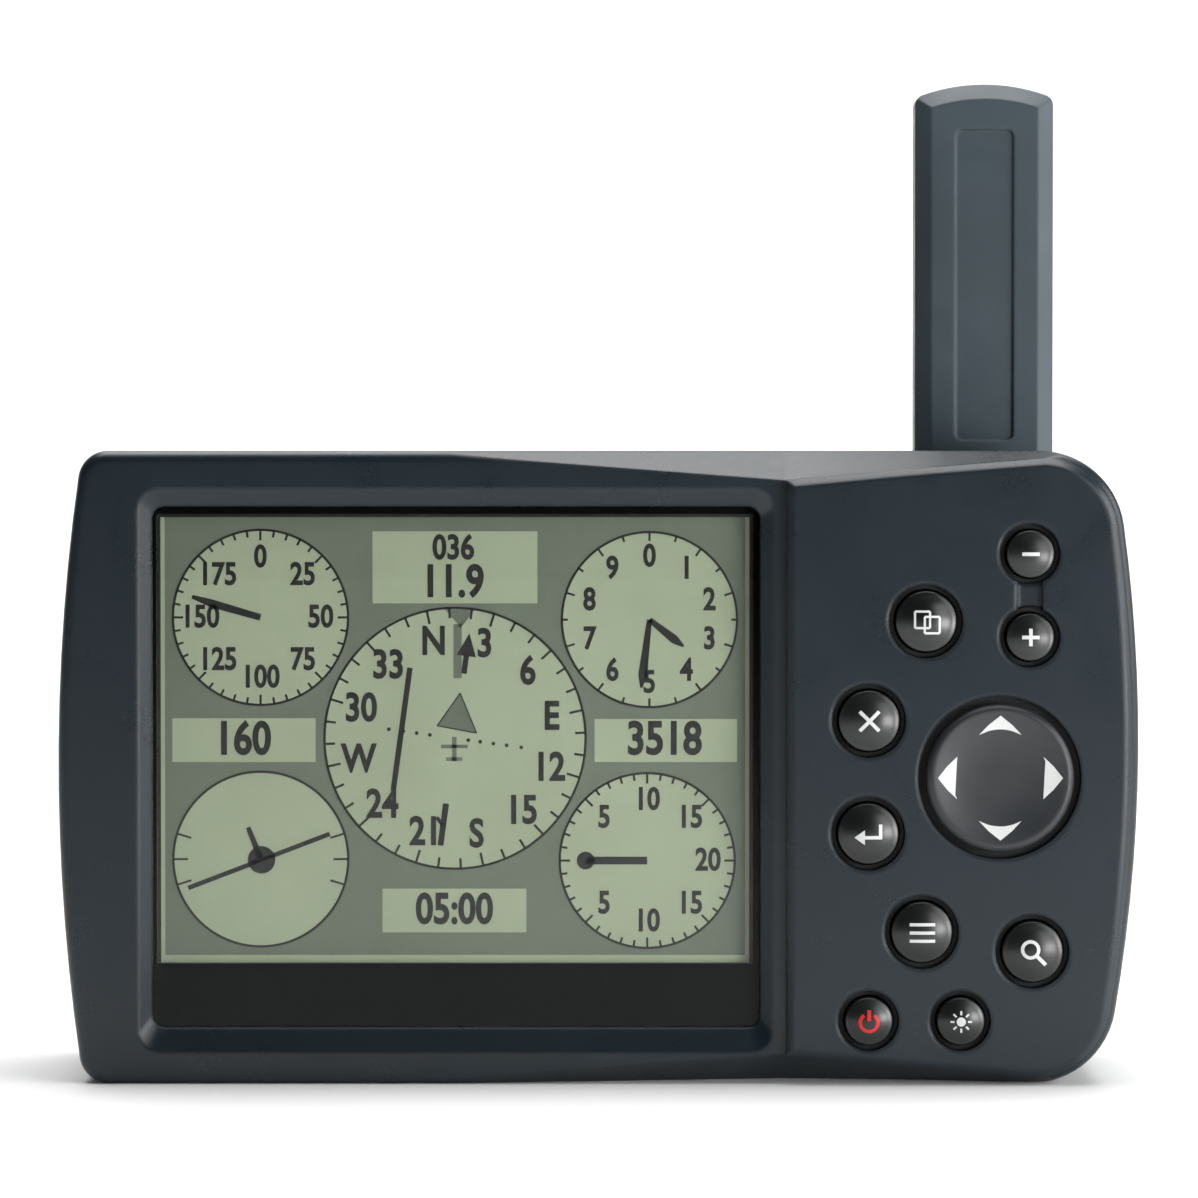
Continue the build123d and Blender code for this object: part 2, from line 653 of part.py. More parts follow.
def front_housing():
    """Front shell: bezel, recess, plateau, key wells and screw bosses."""
    shell = slab(body_outline(), BEZEL_Y, SEAM_Y)
    shell = fillet(shell.faces().sort_by(Axis.Y)[0].edges(), FRONT_EDGE_R)
    for cut in facets():
        shell -= cut
    face = plateau_face()
    rim = [facing(FRONT_Y) * offset(face, amount=-PLATEAU_EDGE), facing(FRONT_Y + PLATEAU_EDGE) * face]
    plateau = loft(rim, ruled=True) + slab(face, FRONT_Y + PLATEAU_EDGE, BEZEL_Y + FRONT_EDGE_R)
    shell += plateau

    cavity = slab(body_outline(WALL), SCREEN_IN_Y, SEAM_Y)
    keypad_side = block(PLATEAU_X + PLATEAU_SIDE_WALL, RIGHT, KEYPAD_IN_Y, SCREEN_IN_Y, 0, BODY_H)
    cavity += keypad_side & slab(body_outline(WALL + FACET_MIN), KEYPAD_IN_Y, SCREEN_IN_Y) & slab(
        offset(plateau_face(), amount=-WALL), KEYPAD_IN_Y, SCREEN_IN_Y)
    for x, z in CASE_POINTS:
        cavity -= rod(x, z, CASE_BOSS_R, FRONT_Y, SEAM_Y)
    for x, z in board_screw_places():
        cavity -= rod(x, z, BOSS_R, FRONT_Y, BOARD_Y)
    for x, z in screw_places(KEYPAD_SCREWS):
        cavity -= rod(x, z, BOSS_R, FRONT_Y, KEYPAD_BOARD_Y)
    shell -= cavity

    shell -= recess_cut()
    x0, x1 = WINDOW_X0 - WINDOW_GAP, WINDOW_X0 + WINDOW_W + WINDOW_GAP
    z0 = WINDOW_CZ - WINDOW_H / 2 - WINDOW_GAP
    z1 = WINDOW_CZ + WINDOW_H / 2 + WINDOW_GAP
    shell -= plate(x0, x1, z0, z1, WINDOW_R + WINDOW_GAP, WINDOW_Y - CUT_OVER, LEDGE_Y)
    shell -= plate(x0 + LEDGE, x1 - LEDGE, z0 + LEDGE, z1 - LEDGE, WINDOW_R, LEDGE_Y - CUT_OVER,
                   SCREEN_IN_Y)

    for name in KEYS:
        x, z, radius = key_place(name)
        shell -= rod(x, z, radius + KEY_WELL_GAP, FRONT_Y - 1, FRONT_Y + KEY_WELL_DEPTH)
        shell -= rod(x, z, radius + KEY_HOLE_GAP, FRONT_Y, KEYPAD_IN_Y)
        pocket = radius + KEY_HOLE_GAP + KEY_FLANGE_W + KEY_FLANGE_CLEAR
        shell -= rod(x, z, pocket, KEYPAD_IN_Y, SCREEN_IN_Y)
    out_x, out_z, _ = key_place("key_zoom_out")
    _, in_z, _ = key_place("key_zoom_in")
    shell -= block(out_x - ZOOM_GROOVE_W / 2, out_x + ZOOM_GROOVE_W / 2, FRONT_Y - 1,
                   FRONT_Y + ZOOM_GROOVE_DEPTH, in_z, out_z)
    shell -= rod(ROCKER_X, ROCKER_Z, ROCKER_R + ROCKER_GAP, FRONT_Y - 1, FRONT_Y + ROCKER_WELL_DEPTH)
    shell -= rod(ROCKER_X, ROCKER_Z, STEM_R + STEM_HOLE_GAP, FRONT_Y, KEYPAD_IN_Y)

    for x, z in CASE_POINTS:
        shell -= rod(x, z, CASE_SCREW_R + SCREW_CLEAR / 2, SEAM_Y - CASE_SCREW_BITE - 1, SEAM_Y)
    for x, z in board_screw_places():
        shell -= rod(x, z, BOARD_SCREW_R + SCREW_CLEAR / 2, BOARD_Y - SCREW_BITE - SCREW_TIP_GAP, BOARD_Y)
    for x, z in screw_places(KEYPAD_SCREWS):
        low = KEYPAD_BOARD_Y - SCREW_BITE - SCREW_TIP_GAP
        shell -= rod(x, z, BOARD_SCREW_R + SCREW_CLEAR / 2, low, KEYPAD_BOARD_Y)
    return shell - seam_groove()


def rear_housing():
    """Rear shell: battery bay, antenna step, socket hole, bracket pockets and screw columns."""
    shell = slab(body_outline(), SEAM_Y, BACK_Y)
    shell = fillet(shell.faces().sort_by(Axis.Y)[-1].edges(), BACK_EDGE_R)
    step_x, step_z = ANT_X - STEP_LEFT, ANT_Z - STEP_BELOW
    shell -= block(step_x, BIG, STEP_Y, BIG, step_z, BIG)

    cavity = slab(body_outline(WALL), SEAM_Y, BACK_Y - WALL)
    cavity -= block(step_x - WALL, BIG, STEP_Y - WALL, BIG, step_z - WALL, BIG)
    cavity -= block(BAY_X0 - BIG, BAY_X1 + BAY_WALL, BAY_FLOOR_Y - BAY_WALL, BIG,
                    BAY_Z0 - BAY_WALL, BAY_Z1 + BAY_WALL)
    cavity -= block(BAY_X1, DOOR_X1 + BAY_WALL, SEAT_Y - BAY_WALL, BIG,
                    DOOR_Z0 - BAY_WALL, DOOR_Z1 + BAY_WALL)
    cavity -= rod(LATCH_X, BAY_CZ, LATCH_WELL_R + BAY_WALL, SEAT_Y - LATCH_WELL_DEPTH - BAY_WALL, BIG)
    pocket_half = CARD_W / 2 + CARD_POCKET_MARGIN
    cavity -= block(CARD_X - CARD_POCKET_W / 2 - BAY_WALL, CARD_X + CARD_POCKET_W / 2 + BAY_WALL,
                    CARD_FLOOR_Y - BAY_WALL, BIG, CARD_Z - pocket_half - BAY_WALL,
                    CARD_Z + pocket_half + BAY_WALL)
    for x in POCKET_X:
        cavity -= block(x - POCKET_W / 2 - POCKET_WALL, x + POCKET_W / 2 + POCKET_WALL,
                        BACK_Y - POCKET_DEPTH - POCKET_WALL, BIG,
                        POCKET_Z - POCKET_H / 2 - POCKET_WALL, POCKET_Z + POCKET_H / 2 + POCKET_WALL)
    for x, z in CASE_POINTS:
        cavity -= rod(x, z, CASE_COLUMN_R, SEAM_Y, BIG)
    shell -= cavity

    shell -= block(BAY_X0, BAY_X1, BAY_FLOOR_Y, BIG, BAY_Z0, BAY_Z1)
    shell -= plate(DOOR_X0 - DOOR_GAP, DOOR_X1 + DOOR_GAP, DOOR_Z0 - DOOR_GAP, DOOR_Z1 + DOOR_GAP,
                   DOOR_R + DOOR_GAP, SEAT_Y, BIG)
    shell -= rod(LATCH_X, BAY_CZ, LATCH_WELL_R, SEAT_Y - LATCH_WELL_DEPTH, SEAT_Y)
    shell -= block(CARD_X - CARD_POCKET_W / 2, CARD_X + CARD_POCKET_W / 2, CARD_FLOOR_Y, SEAT_Y,
                   CARD_Z - pocket_half, CARD_Z + pocket_half)
    shell -= block(CARD_X - CARD_T / 2 - CARD_GAP, CARD_X + CARD_T / 2 + CARD_GAP,
                   CARD_FLOOR_Y - BAY_WALL, CARD_FLOOR_Y,
                   CARD_Z - CARD_W / 2 - CARD_GAP, CARD_Z + CARD_W / 2 + CARD_GAP)
    for side in (-1, 1):
        z = BAY_CZ + side * TAB_SPREAD
        shell -= block(DOOR_X0 - TAB_L - TAB_GAP, DOOR_X0, SEAT_Y, DOOR_Y + TAB_T + TAB_RISE,
                       z - TAB_W / 2 - TAB_GAP, z + TAB_W / 2 + TAB_GAP)
    for x in POCKET_X:
        shell -= plate(x - POCKET_W / 2, x + POCKET_W / 2, POCKET_Z - POCKET_H / 2,
                       POCKET_Z + POCKET_H / 2, POCKET_R, BACK_Y - POCKET_DEPTH, BIG)
    for x, z in CASE_POINTS:
        shell -= rod(x, z, CASE_SCREW_R + SCREW_CLEAR, SEAM_Y, CASE_SEAT_Y)
        shell -= rod(x, z, CASE_SCREW_HEAD_R + CASE_HEAD_CLEAR, CASE_SEAT_Y, BIG)
    shell -= rod(ANT_X, ANT_Z, JACK_THREAD_R + JACK_CLEAR, STEP_Y - WALL, STEP_Y)
    shell -= rod(SOCKET_X, SOCKET_Z, SOCKET_R + SOCKET_CLEAR, BACK_Y - WALL - 1, BIG)
    shell -= rod(SOCKET_X, SOCKET_Z, SOCKET_NUT_R + 2 * SOCKET_CLEAR, SEAM_Y, BACK_Y - WALL)
    return shell - seam_groove()


def housing_gasket():
    """Soft ring in the seam."""
    return slab(gasket_ring(0.0), SEAM_Y - GASKET_T / 2, SEAM_Y + GASKET_T / 2)


def display_window():
    """Clear window, flush with the bottom of the bezel recess."""
    return plate(WINDOW_X0, WINDOW_X0 + WINDOW_W, WINDOW_CZ - WINDOW_H / 2, WINDOW_CZ + WINDOW_H / 2,
                 WINDOW_R, WINDOW_Y, MASK_Y)


def screen_mask():
    """Black printed film between the window and its ledge, open over the display."""
    film = plate(WINDOW_X0, WINDOW_X0 + WINDOW_W, WINDOW_CZ - WINDOW_H / 2, WINDOW_CZ + WINDOW_H / 2,
                 WINDOW_R, MASK_Y, LEDGE_Y)
    return film - block(VIEW_X0, VIEW_X1, MASK_Y - 1, LEDGE_Y + 1, VIEW_Z0, VIEW_Z1)


def lcd_layer(y_low, y_high):
    """One layer of the LCD stack."""
    return block(LCD_X0, LCD_X1, y_low, y_high, LCD_Z0, LCD_Z1)


def flex_span():
    """Left and right edge of the display's flex."""
    return VIEW_X0 + FLEX_FROM_VIEW, VIEW_X0 + FLEX_FROM_VIEW + FLEX_W


def lcd_frame():
    """Thin metal frame round the LCD stack, with a rear lip and a gap for the flex."""
    grow = LCD_GAP + FRAME_T
    frame = block(LCD_X0 - grow, LCD_X1 + grow, LCD_Y, FRAME_END_Y, LCD_Z0 - grow, LCD_Z1 + grow)
    frame -= block(LCD_X0 - LCD_GAP, LCD_X1 + LCD_GAP, LCD_Y - 1, FRAME_END_Y + 1,
                   LCD_Z0 - LCD_GAP, LCD_Z1 + LCD_GAP)
    lip = block(LCD_X0 - grow, LCD_X1 + grow, FRAME_END_Y, FRAME_END_Y + FRAME_LIP_T,
                LCD_Z0 - grow, LCD_Z1 + grow)
    lip -= block(LCD_X0 + FRAME_LIP, LCD_X1 - FRAME_LIP, LCD_Y, FRAME_END_Y + 1,
                 LCD_Z0 + FRAME_LIP, LCD_Z1 - FRAME_LIP)
    frame += lip
    flex_x0, flex_x1 = flex_span()
    return frame - block(flex_x0 - 1, flex_x1 + 1, LCD_Y - 1, REFLECTOR_Y, LCD_Z0 - grow - 1, LCD_Z0)


def lcd_flex():
    """Flat lead from the glass's lower edge to its connector on the board."""
    x0, x1 = flex_span()
    low = LCD_Z0 - FLEX_DROP
    rise = block(x0, x1, GUIDE_Y - FLEX_T, GUIDE_Y, low, LCD_Z0)
    turn = block(x0, x1, GUIDE_Y - FLEX_T, BOARD_Y - FLEX_CONNECTOR_T, low - FLEX_T, low)
    head = block(x0, x1, BOARD_Y - FLEX_CONNECTOR_T, BOARD_Y, low - FLEX_CONNECTOR_HALF,
                 low + FLEX_CONNECTOR_HALF)
    return rise + turn + head


def main_board():
    """Main circuit board behind the LCD, notched round the case bosses."""
    board = slab(body_outline(BOARD_INSET), BOARD_Y, BOARD_BACK_Y)
    for x, z in CASE_POINTS:
        board -= rod(x, z, CASE_BOSS_R + BOSS_GAP, BOARD_Y - 1, BOARD_BACK_Y + 1)
    for x, z in board_screw_places():
        board -= rod(x, z, BOARD_SCREW_R + SCREW_CLEAR, BOARD_Y - 1, BOARD_BACK_Y + 1)
    return board


def small_screws(places, seat_y):
    """Short pan-head screws whose heads rest on a board's back."""
    screws = []
    for x, z in places:
        shank = rod(x, z, BOARD_SCREW_R, seat_y - BOARD_T - SCREW_BITE, seat_y)
        head = rod(x, z, BOARD_SCREW_HEAD_R, seat_y, seat_y + BOARD_SCREW_HEAD_T)
        head -= block(x - SLOT_HALF_L, x + SLOT_HALF_L, seat_y + BOARD_SCREW_HEAD_T - SLOT_DEPTH,
                      seat_y + 2, z - SLOT_HALF_W, z + SLOT_HALF_W)
        screws.append(shank + head)
    return group(screws)


def case_screws():
    """Long screws from the back that pull the two housings together."""
    screws = []
    for x, z in CASE_POINTS:
        shank = rod(x, z, CASE_SCREW_R, SEAM_Y - CASE_SCREW_BITE, CASE_SEAT_Y)
        head = rod(x, z, CASE_SCREW_HEAD_R, CASE_SEAT_Y, CASE_SEAT_Y + CASE_SCREW_HEAD_T)
        for turn in (0, 90):
            blade = Rot(0, turn, 0) * Box(CROSS_L, 2 * CROSS_DEPTH, CROSS_W)
            head -= Pos(x, CASE_SEAT_Y + CASE_SCREW_HEAD_T, z) * blade
        screws.append(shank + head)
    return group(screws)


def shield_can():
    """Open-backed metal can over the radio chips."""
    x0, x1 = CAN_CX - CAN_W / 2, CAN_CX + CAN_W / 2
    z0, z1 = MID_Z - CAN_H / 2, MID_Z + CAN_H / 2
    can = block(x0, x1, BOARD_BACK_Y, BOARD_BACK_Y + CAN_T, z0, z1)
    return can - block(x0 + CAN_WALL, x1 - CAN_WALL, BOARD_BACK_Y - 1, BOARD_BACK_Y + CAN_T - CAN_WALL,
                       z0 + CAN_WALL, z1 - CAN_WALL)


def board_chips():
    """Chips under the can."""
    chips = []
    for width, height, dx, dz in CHIP_SIZES:
        x, z = CAN_CX + dx, MID_Z + dz
        chips.append(block(x - width / 2, x + width / 2, BOARD_BACK_Y, BOARD_BACK_Y + CHIP_T,
                           z - height / 2, z + height / 2))
    return group(chips)


def backup_cell():
    """Button cell that keeps the memory and the clock."""
    return rod(LEFT + BACKUP_FROM_LEFT, TOP_PARTS_Z, CELL_BACKUP_R, BOARD_BACK_Y,
               BOARD_BACK_Y + CELL_BACKUP_T)


def beeper():
    """Round sounder."""
    return rod(LEFT + BEEPER_FROM_LEFT, TOP_PARTS_Z, BEEPER_R, BOARD_BACK_Y, BOARD_BACK_Y + BEEPER_T)


def coax_points():
    """Corners of the internal coax, from the jack's tail to the board."""
    y_start = STEP_Y - WALL - JACK_FLANGE_T
    x_end = ANT_X - COAX_RUN
    y_turn = y_start - COAX_DROP
    y_end = BOARD_BACK_Y + RF_CONNECTOR_T
    return [(ANT_X, y_start, ANT_Z), (ANT_X, y_turn, ANT_Z), (x_end, y_turn, ANT_Z), (x_end, y_end, ANT_Z)]


def antenna_coax():
    """Coax from the antenna jack to its connector on the board."""
    points = coax_points()
    drop = points[0][1] - points[1][1]
    last = points[2][1] - points[3][1]
    radii = [COAX_SHARE * 2 * min(drop, COAX_RUN), COAX_SHARE * 2 * min(last, COAX_RUN)]
    path = FilletPolyline(*points, radius=radii)
    plane = Plane(origin=points[0], z_dir=(0, -1, 0))
    return sweep(plane * Circle(COAX_R), path=path)


def rf_connector():
    """Board connector that the coax ends in."""
    x, _, z = coax_points()[-1]
    return rod(x, z, RF_CONNECTOR_R, BOARD_BACK_Y, BOARD_BACK_Y + RF_CONNECTOR_T)


def keypad_region(extra):
    """Area of the keypad board and mat, drawn in X and Z."""
    x0, x1 = KEYPAD_START, RIGHT - KEYPAD_EDGE
    z0, z1 = KEYPAD_BASE, BODY_H - KEYPAD_TOP
    face = Pos((x0 + x1) / 2, (z0 + z1) / 2) * Rectangle(x1 - x0 - extra, z1 - z0 - extra)
    face = face & offset(plateau_face(), amount=-WALL - KEYPAD_SIDE_GAP)
    for x, z in CASE_POINTS:
        face -= Pos(x, z) * Circle(CASE_BOSS_R + BOSS_GAP)
    return face


def keypad_board():
    """Board behind the keys."""
    board = slab(keypad_region(0.0), KEYPAD_BOARD_Y, KEYPAD_BOARD_Y + KEYPAD_BOARD_T)
    for x, z in screw_places(KEYPAD_SCREWS):
        board -= rod(x, z, BOARD_SCREW_R + SCREW_CLEAR, KEYPAD_BOARD_Y - 1, KEYPAD_BOARD_Y + BOARD_T)
    return board


def key_mat():
    """Silicone mat between the keys and the board, open for plungers, bosses and rocker."""
    y0 = FLANGE_Y + KEY_FLANGE_T + KEY_TRAVEL + DOME_GAP
    y1 = min(y0 + MAT_T, KEYPAD_BOARD_Y - DOME_T - DOME_GAP)
    mat = slab(keypad_region(MAT_INSET), y0, y1)
    for name in KEYS:
        x, z, _ = key_place(name)
        mat -= rod(x, z, KEY_PLUNGER_R + MAT_HOLE_GAP, y0 - 1, y1 + 1)
    for x, z in screw_places(KEYPAD_SCREWS):
        mat -= rod(x, z, BOSS_R + BOSS_GAP, y0 - 1, y1 + 1)
    return mat - rod(ROCKER_X, ROCKER_Z, CARRIER_R + MAT_HOLE_GAP, y0 - 1, y1 + 1)


def dome_switches():
    """Metal domes under the keys and under the rocker's four arms."""
    domes = []
    for name in KEYS:
        x, z, _ = key_place(name)
        domes.append((x, z, DOME_R))
    reach = CARRIER_IN_R - DOME_FROM_CARRIER
    for dx, dz in ((reach, 0), (-reach, 0), (0, reach), (0, -reach)):
        domes.append((ROCKER_X + dx, ROCKER_Z + dz, DOME_SMALL_R))
    solids = []
    for x, z, radius in domes:
        y1 = KEYPAD_BOARD_Y
        shoulder = (radius * DOME_SHOULDER_R, y1 - DOME_T * DOME_SHOULDER_T)
        profile = [(0, y1), (radius, y1), shoulder, (0, y1 - DOME_T)]
        solids.append(turned(profile, x, z))
    return group(solids)


def key_cap(name):
    """Domed cap with a retaining flange behind the plateau and a plunger."""
    x, z, radius = key_place(name)
    flange = radius + KEY_HOLE_GAP + KEY_FLANGE_W
    top = FRONT_Y - KEY_PROUD
    sphere = radius * KEY_CROWN_RATIO

    def crown_y(distance):
        """Depth of the spherical crown at a distance from the axis."""
        return top + sphere - (sphere ** 2 - distance ** 2) ** 0.5

    edge = radius - KEY_RIM
    side = Polyline(
        (0, top), (0, PLUNGER_END_Y), (KEY_PLUNGER_R, PLUNGER_END_Y),
        (KEY_PLUNGER_R, FLANGE_Y + KEY_FLANGE_T), (flange, FLANGE_Y + KEY_FLANGE_T), (flange, FLANGE_Y),
        (radius, FLANGE_Y), (radius, crown_y(edge) + KEY_RIM), (edge, crown_y(edge)))
    crown = ThreePointArc((edge, crown_y(edge)), (edge / 2, crown_y(edge / 2)), (0, top))
    return Pos(x, 0, z) * revolve(make_face(side + crown), Axis.Y)


def rocker_disc():
    """Dished rocker pad with its stem and cross pin."""
    top = FRONT_Y - ROCKER_PROUD
    under = top + ROCKER_T
    dish = [(ROCKER_R * out, top + ROCKER_DISH * down) for out, down in ROCKER_DISH_STEPS]
    profile = [
        (0, STEM_END_Y), (STEM_R, STEM_END_Y), (STEM_R, under), (ROCKER_R, under),
        (ROCKER_R, top + ROCKER_BEVEL), (ROCKER_R - ROCKER_BEVEL, top), *dish, (0, top + ROCKER_DISH)]
    disc = turned(profile, ROCKER_X, ROCKER_Z)
    half = GIMBAL_R - PIN_SHORT
    pin = Pos(ROCKER_X, PIVOT_Y, ROCKER_Z) * Cylinder(PIN_R, 2 * half)
    return disc + pin


def rocker_ring():
    """Gimbal ring: bored along Z for the rocker's pin, with its own pins along X."""
    inner = STEM_R + GIMBAL_IN_GAP
    ring = rod(ROCKER_X, ROCKER_Z, GIMBAL_R, PIVOT_Y - GIMBAL_HALF_T, PIVOT_Y + GIMBAL_HALF_T)
    ring -= rod(ROCKER_X, ROCKER_Z, inner, PIVOT_Y - 2, PIVOT_Y + 2)
    ring -= Pos(ROCKER_X, PIVOT_Y, ROCKER_Z) * Cylinder(PIN_R + PIN_CLEAR, BIG)
    for side in (-1, 1):
        reach = [side * (GIMBAL_R - PIN_ROOT), side * (CARRIER_IN_R + PIN_BITE)]
        ring += rod_x(PIVOT_Y, ROCKER_Z, PIN_R, ROCKER_X + min(reach), ROCKER_X + max(reach))
    return ring


def rocker_carrier():
    """Fixed ring behind the plateau that carries the gimbal's pins."""
    y1 = KEYPAD_IN_Y + CARRIER_T
    ring = rod(ROCKER_X, ROCKER_Z, CARRIER_R, KEYPAD_IN_Y, y1)
    ring -= rod(ROCKER_X, ROCKER_Z, CARRIER_IN_R, KEYPAD_IN_Y - 1, y1 + 1)
    reach = CARRIER_IN_R + PIN_BITE + PIN_END_GAP
    return ring - rod_x(PIVOT_Y, ROCKER_Z, PIN_R + PIN_CLEAR, ROCKER_X - reach, ROCKER_X + reach)


def rocker_actuator():
    """Cross on the stem's end that reaches the four dome switches."""
    reach = CARRIER_IN_R - ACTUATOR_SIDE_GAP
    y0, y1 = STEM_END_Y, STEM_END_Y + ACTUATOR_T
    half = ACTUATOR_W / 2
    along = block(ROCKER_X - reach, ROCKER_X + reach, y0, y1, ROCKER_Z - half, ROCKER_Z + half)
    across = block(ROCKER_X - half, ROCKER_X + half, y0, y1, ROCKER_Z - reach, ROCKER_Z + reach)
    return along + across + rod(ROCKER_X, ROCKER_Z, STEM_R, y0, y1)


def interboard_connector():
    """Stacking connector between the keypad board and the main board."""
    x = ROCKER_X + LINK_FROM_ROCKER
    return block(x - LINK_W / 2, x + LINK_W / 2, KEYPAD_BOARD_Y + KEYPAD_BOARD_T, BOARD_Y,
                 ROCKER_Z - LINK_H / 2, ROCKER_Z + LINK_H / 2)


def cell_rows():
    """Height of each row of cells, and which way its left cell points."""
    return [(BAY_CZ + row * AA_PITCH, row % 2) for row in (-1, 0, 1)]


def battery_cells():
    """Six cells, alternating in direction."""
    cells = []
    for z, flip in cell_rows():
        for column, x0 in enumerate((CELL_X0, CELL_X1)):
            nub_first = (flip + column) % 2 == 1
            can_x0 = x0 + AA_NUB_L if nub_first else x0
            can = rod_x(CELL_Y, z, AA_R, can_x0, can_x0 + AA_L)
            nub_x0 = x0 if nub_first else x0 + AA_L
            cells.append(can + rod_x(CELL_Y, z, AA_NUB_R, nub_x0, nub_x0 + AA_NUB_L))
    return group(cells)


def battery_springs():
    """End contacts at the left of the bay: plates with a raised spring for each cell."""
    contacts = []
    for z, _ in cell_rows():
        base = block(BAY_X0, BAY_X0 + CONTACT_T, CELL_Y - CONTACT_HALF, CELL_Y + CONTACT_HALF,
                     z - CONTACT_HALF, z + CONTACT_HALF)
        cone = Cone(SPRING_BASE_R, SPRING_TIP_R, CONTACT_SPRING, rotation=(0, 90, 0))
        contacts.append(base + Pos(BAY_X0 + CONTACT_T + CONTACT_SPRING / 2, CELL_Y, z) * cone)
    return group(contacts)


def battery_plates():
    """End contacts at the right of the bay, and the plates between the two columns."""
    contacts = []
    for z, _ in cell_rows():
        x1 = CELL_X0 + CELL_L
        contacts.append(block(x1, x1 + MID_CONTACT_T, CELL_Y - CONTACT_HALF, CELL_Y + CONTACT_HALF,
                              z - CONTACT_HALF, z + CONTACT_HALF))
        base = block(BAY_X1 - CONTACT_T, BAY_X1, CELL_Y - CONTACT_HALF, CELL_Y + CONTACT_HALF,
                     z - CONTACT_HALF, z + CONTACT_HALF)
        cone = Cone(SPRING_TIP_R, SPRING_BASE_R, CONTACT_SPRING, rotation=(0, 90, 0))
        contacts.append(base + Pos(BAY_X1 - CONTACT_T - CONTACT_SPRING / 2, CELL_Y, z) * cone)
    return group(contacts)


def battery_door():
    """Flush door with two tabs at the left, grip grooves and a seat for the latch."""
    door = plate(DOOR_X0, DOOR_X1, DOOR_Z0, DOOR_Z1, DOOR_R, DOOR_Y, BACK_Y)
    for side in (-1, 1):
        z = BAY_CZ + side * TAB_SPREAD
        door += block(DOOR_X0 - TAB_L, DOOR_X0 + 1, DOOR_Y, DOOR_Y + TAB_T, z - TAB_W / 2, z + TAB_W / 2)
    door -= rod(LATCH_X, BAY_CZ, LATCH_HEAD_R + LATCH_CLEAR, BACK_Y - LATCH_HEAD_T, BACK_Y + 1)
    door -= rod(LATCH_X, BAY_CZ, LATCH_STEM_R + LATCH_CLEAR, DOOR_Y - 1, BACK_Y)
    middle = (DOOR_X0 + BAY_X1) / 2
    for index in range(GRIP_COUNT):
        z = BAY_CZ + (index - (GRIP_COUNT - 1) / 2) * GRIP_PITCH
        groove = Pos(middle, z) * SlotOverall(GRIP_L, GRIP_W)
        door -= slab(groove, BACK_Y - GRIP_DEPTH, BACK_Y + 1)
    return door


def door_seal():
    """Square ring under the door, on the ledge round the bay."""
    inner_x0, inner_x1 = BAY_X0 - SEAL_INSET, BAY_X1 + SEAL_INSET
    inner_z0, inner_z1 = BAY_Z0 - SEAL_INSET, BAY_Z1 + SEAL_INSET
    ring = plate(inner_x0 - SEAL_W, inner_x1 + SEAL_W, inner_z0 - SEAL_W, inner_z1 + SEAL_W,
                 SEAL_CORNER_R, SEAT_Y, DOOR_Y)
    return ring - block(inner_x0, inner_x1, SEAT_Y - 1, DOOR_Y + 1, inner_z0, inner_z1)


def ring_axis():
    """Hinge line of the latch ring: X and Y; it runs along Z."""
    return LATCH_X + RING_HINGE_IN, BACK_Y + RING_RISE


def door_latch():
    """Quarter-turn latch: head, stem, cross bar, and two lugs for the ring."""
    latch = rod(LATCH_X, BAY_CZ, LATCH_HEAD_R, BACK_Y - LATCH_HEAD_T, BACK_Y)
    bar_y0 = DOOR_Y - LATCH_BAR_DROP
    latch += rod(LATCH_X, BAY_CZ, LATCH_STEM_R, bar_y0, BACK_Y)
    latch += block(LATCH_X - LATCH_BAR_W / 2, LATCH_X + LATCH_BAR_W / 2, bar_y0, bar_y0 + LATCH_BAR_T,
                   BAY_CZ - LATCH_BAR_HALF, BAY_CZ + LATCH_BAR_HALF)
    hinge_x, hinge_y = ring_axis()
    lug = block(hinge_x - LUG_H / 2, hinge_x + LUG_H / 2, BACK_Y - LUG_ROOT,
                hinge_y + RING_WIRE_R + LUG_COVER,
                BAY_CZ - LUG_W, BAY_CZ + LUG_W)
    bore = Pos(hinge_x, hinge_y, BAY_CZ) * Cylinder(RING_WIRE_R + PIN_CLEAR, BIG)
    return latch + lug - bore


def latch_ring():
    """Folding D-shaped ring: its straight side turns in the latch's lug."""
    hinge_x, hinge_y = ring_axis()
    z0, z1 = BAY_CZ - RING_HALF, BAY_CZ + RING_HALF
    neck = hinge_x - RING_REACH + RING_HALF
    straight = Line((hinge_x, z0), (hinge_x, z1))
    upper = Line((hinge_x, z1), (neck, z1))
    bow = ThreePointArc((neck, z1), (neck - RING_HALF, BAY_CZ), (neck, z0))
    lower = Line((neck, z0), (hinge_x, z0))
    outline = make_face(straight + upper + bow + lower)
    outline = fillet(outline.vertices().sort_by(Axis.X)[-2:], RING_CORNER_R)
    outer = offset(outline, amount=RING_WIRE_R)
    inner = offset(outline, amount=-RING_WIRE_R)
    ring = slab(outer - inner, hinge_y - RING_WIRE_R, hinge_y + RING_WIRE_R)
    core = Pos(hinge_x, hinge_y, BAY_CZ) * Box(RING_EYE, RING_EYE, 2 * (LUG_W + LUG_SIDE_GAP))
    axle = Pos(hinge_x, hinge_y, BAY_CZ) * Cylinder(RING_WIRE_R, 2 * RING_HALF)
    return ring - core + axle


def data_card():
    """Data card, its grip edge standing in the pocket beside the bay."""
    return block(CARD_X - CARD_T / 2, CARD_X + CARD_T / 2, CARD_END_Y - CARD_L, CARD_END_Y,
                 CARD_Z - CARD_W / 2, CARD_Z + CARD_W / 2)


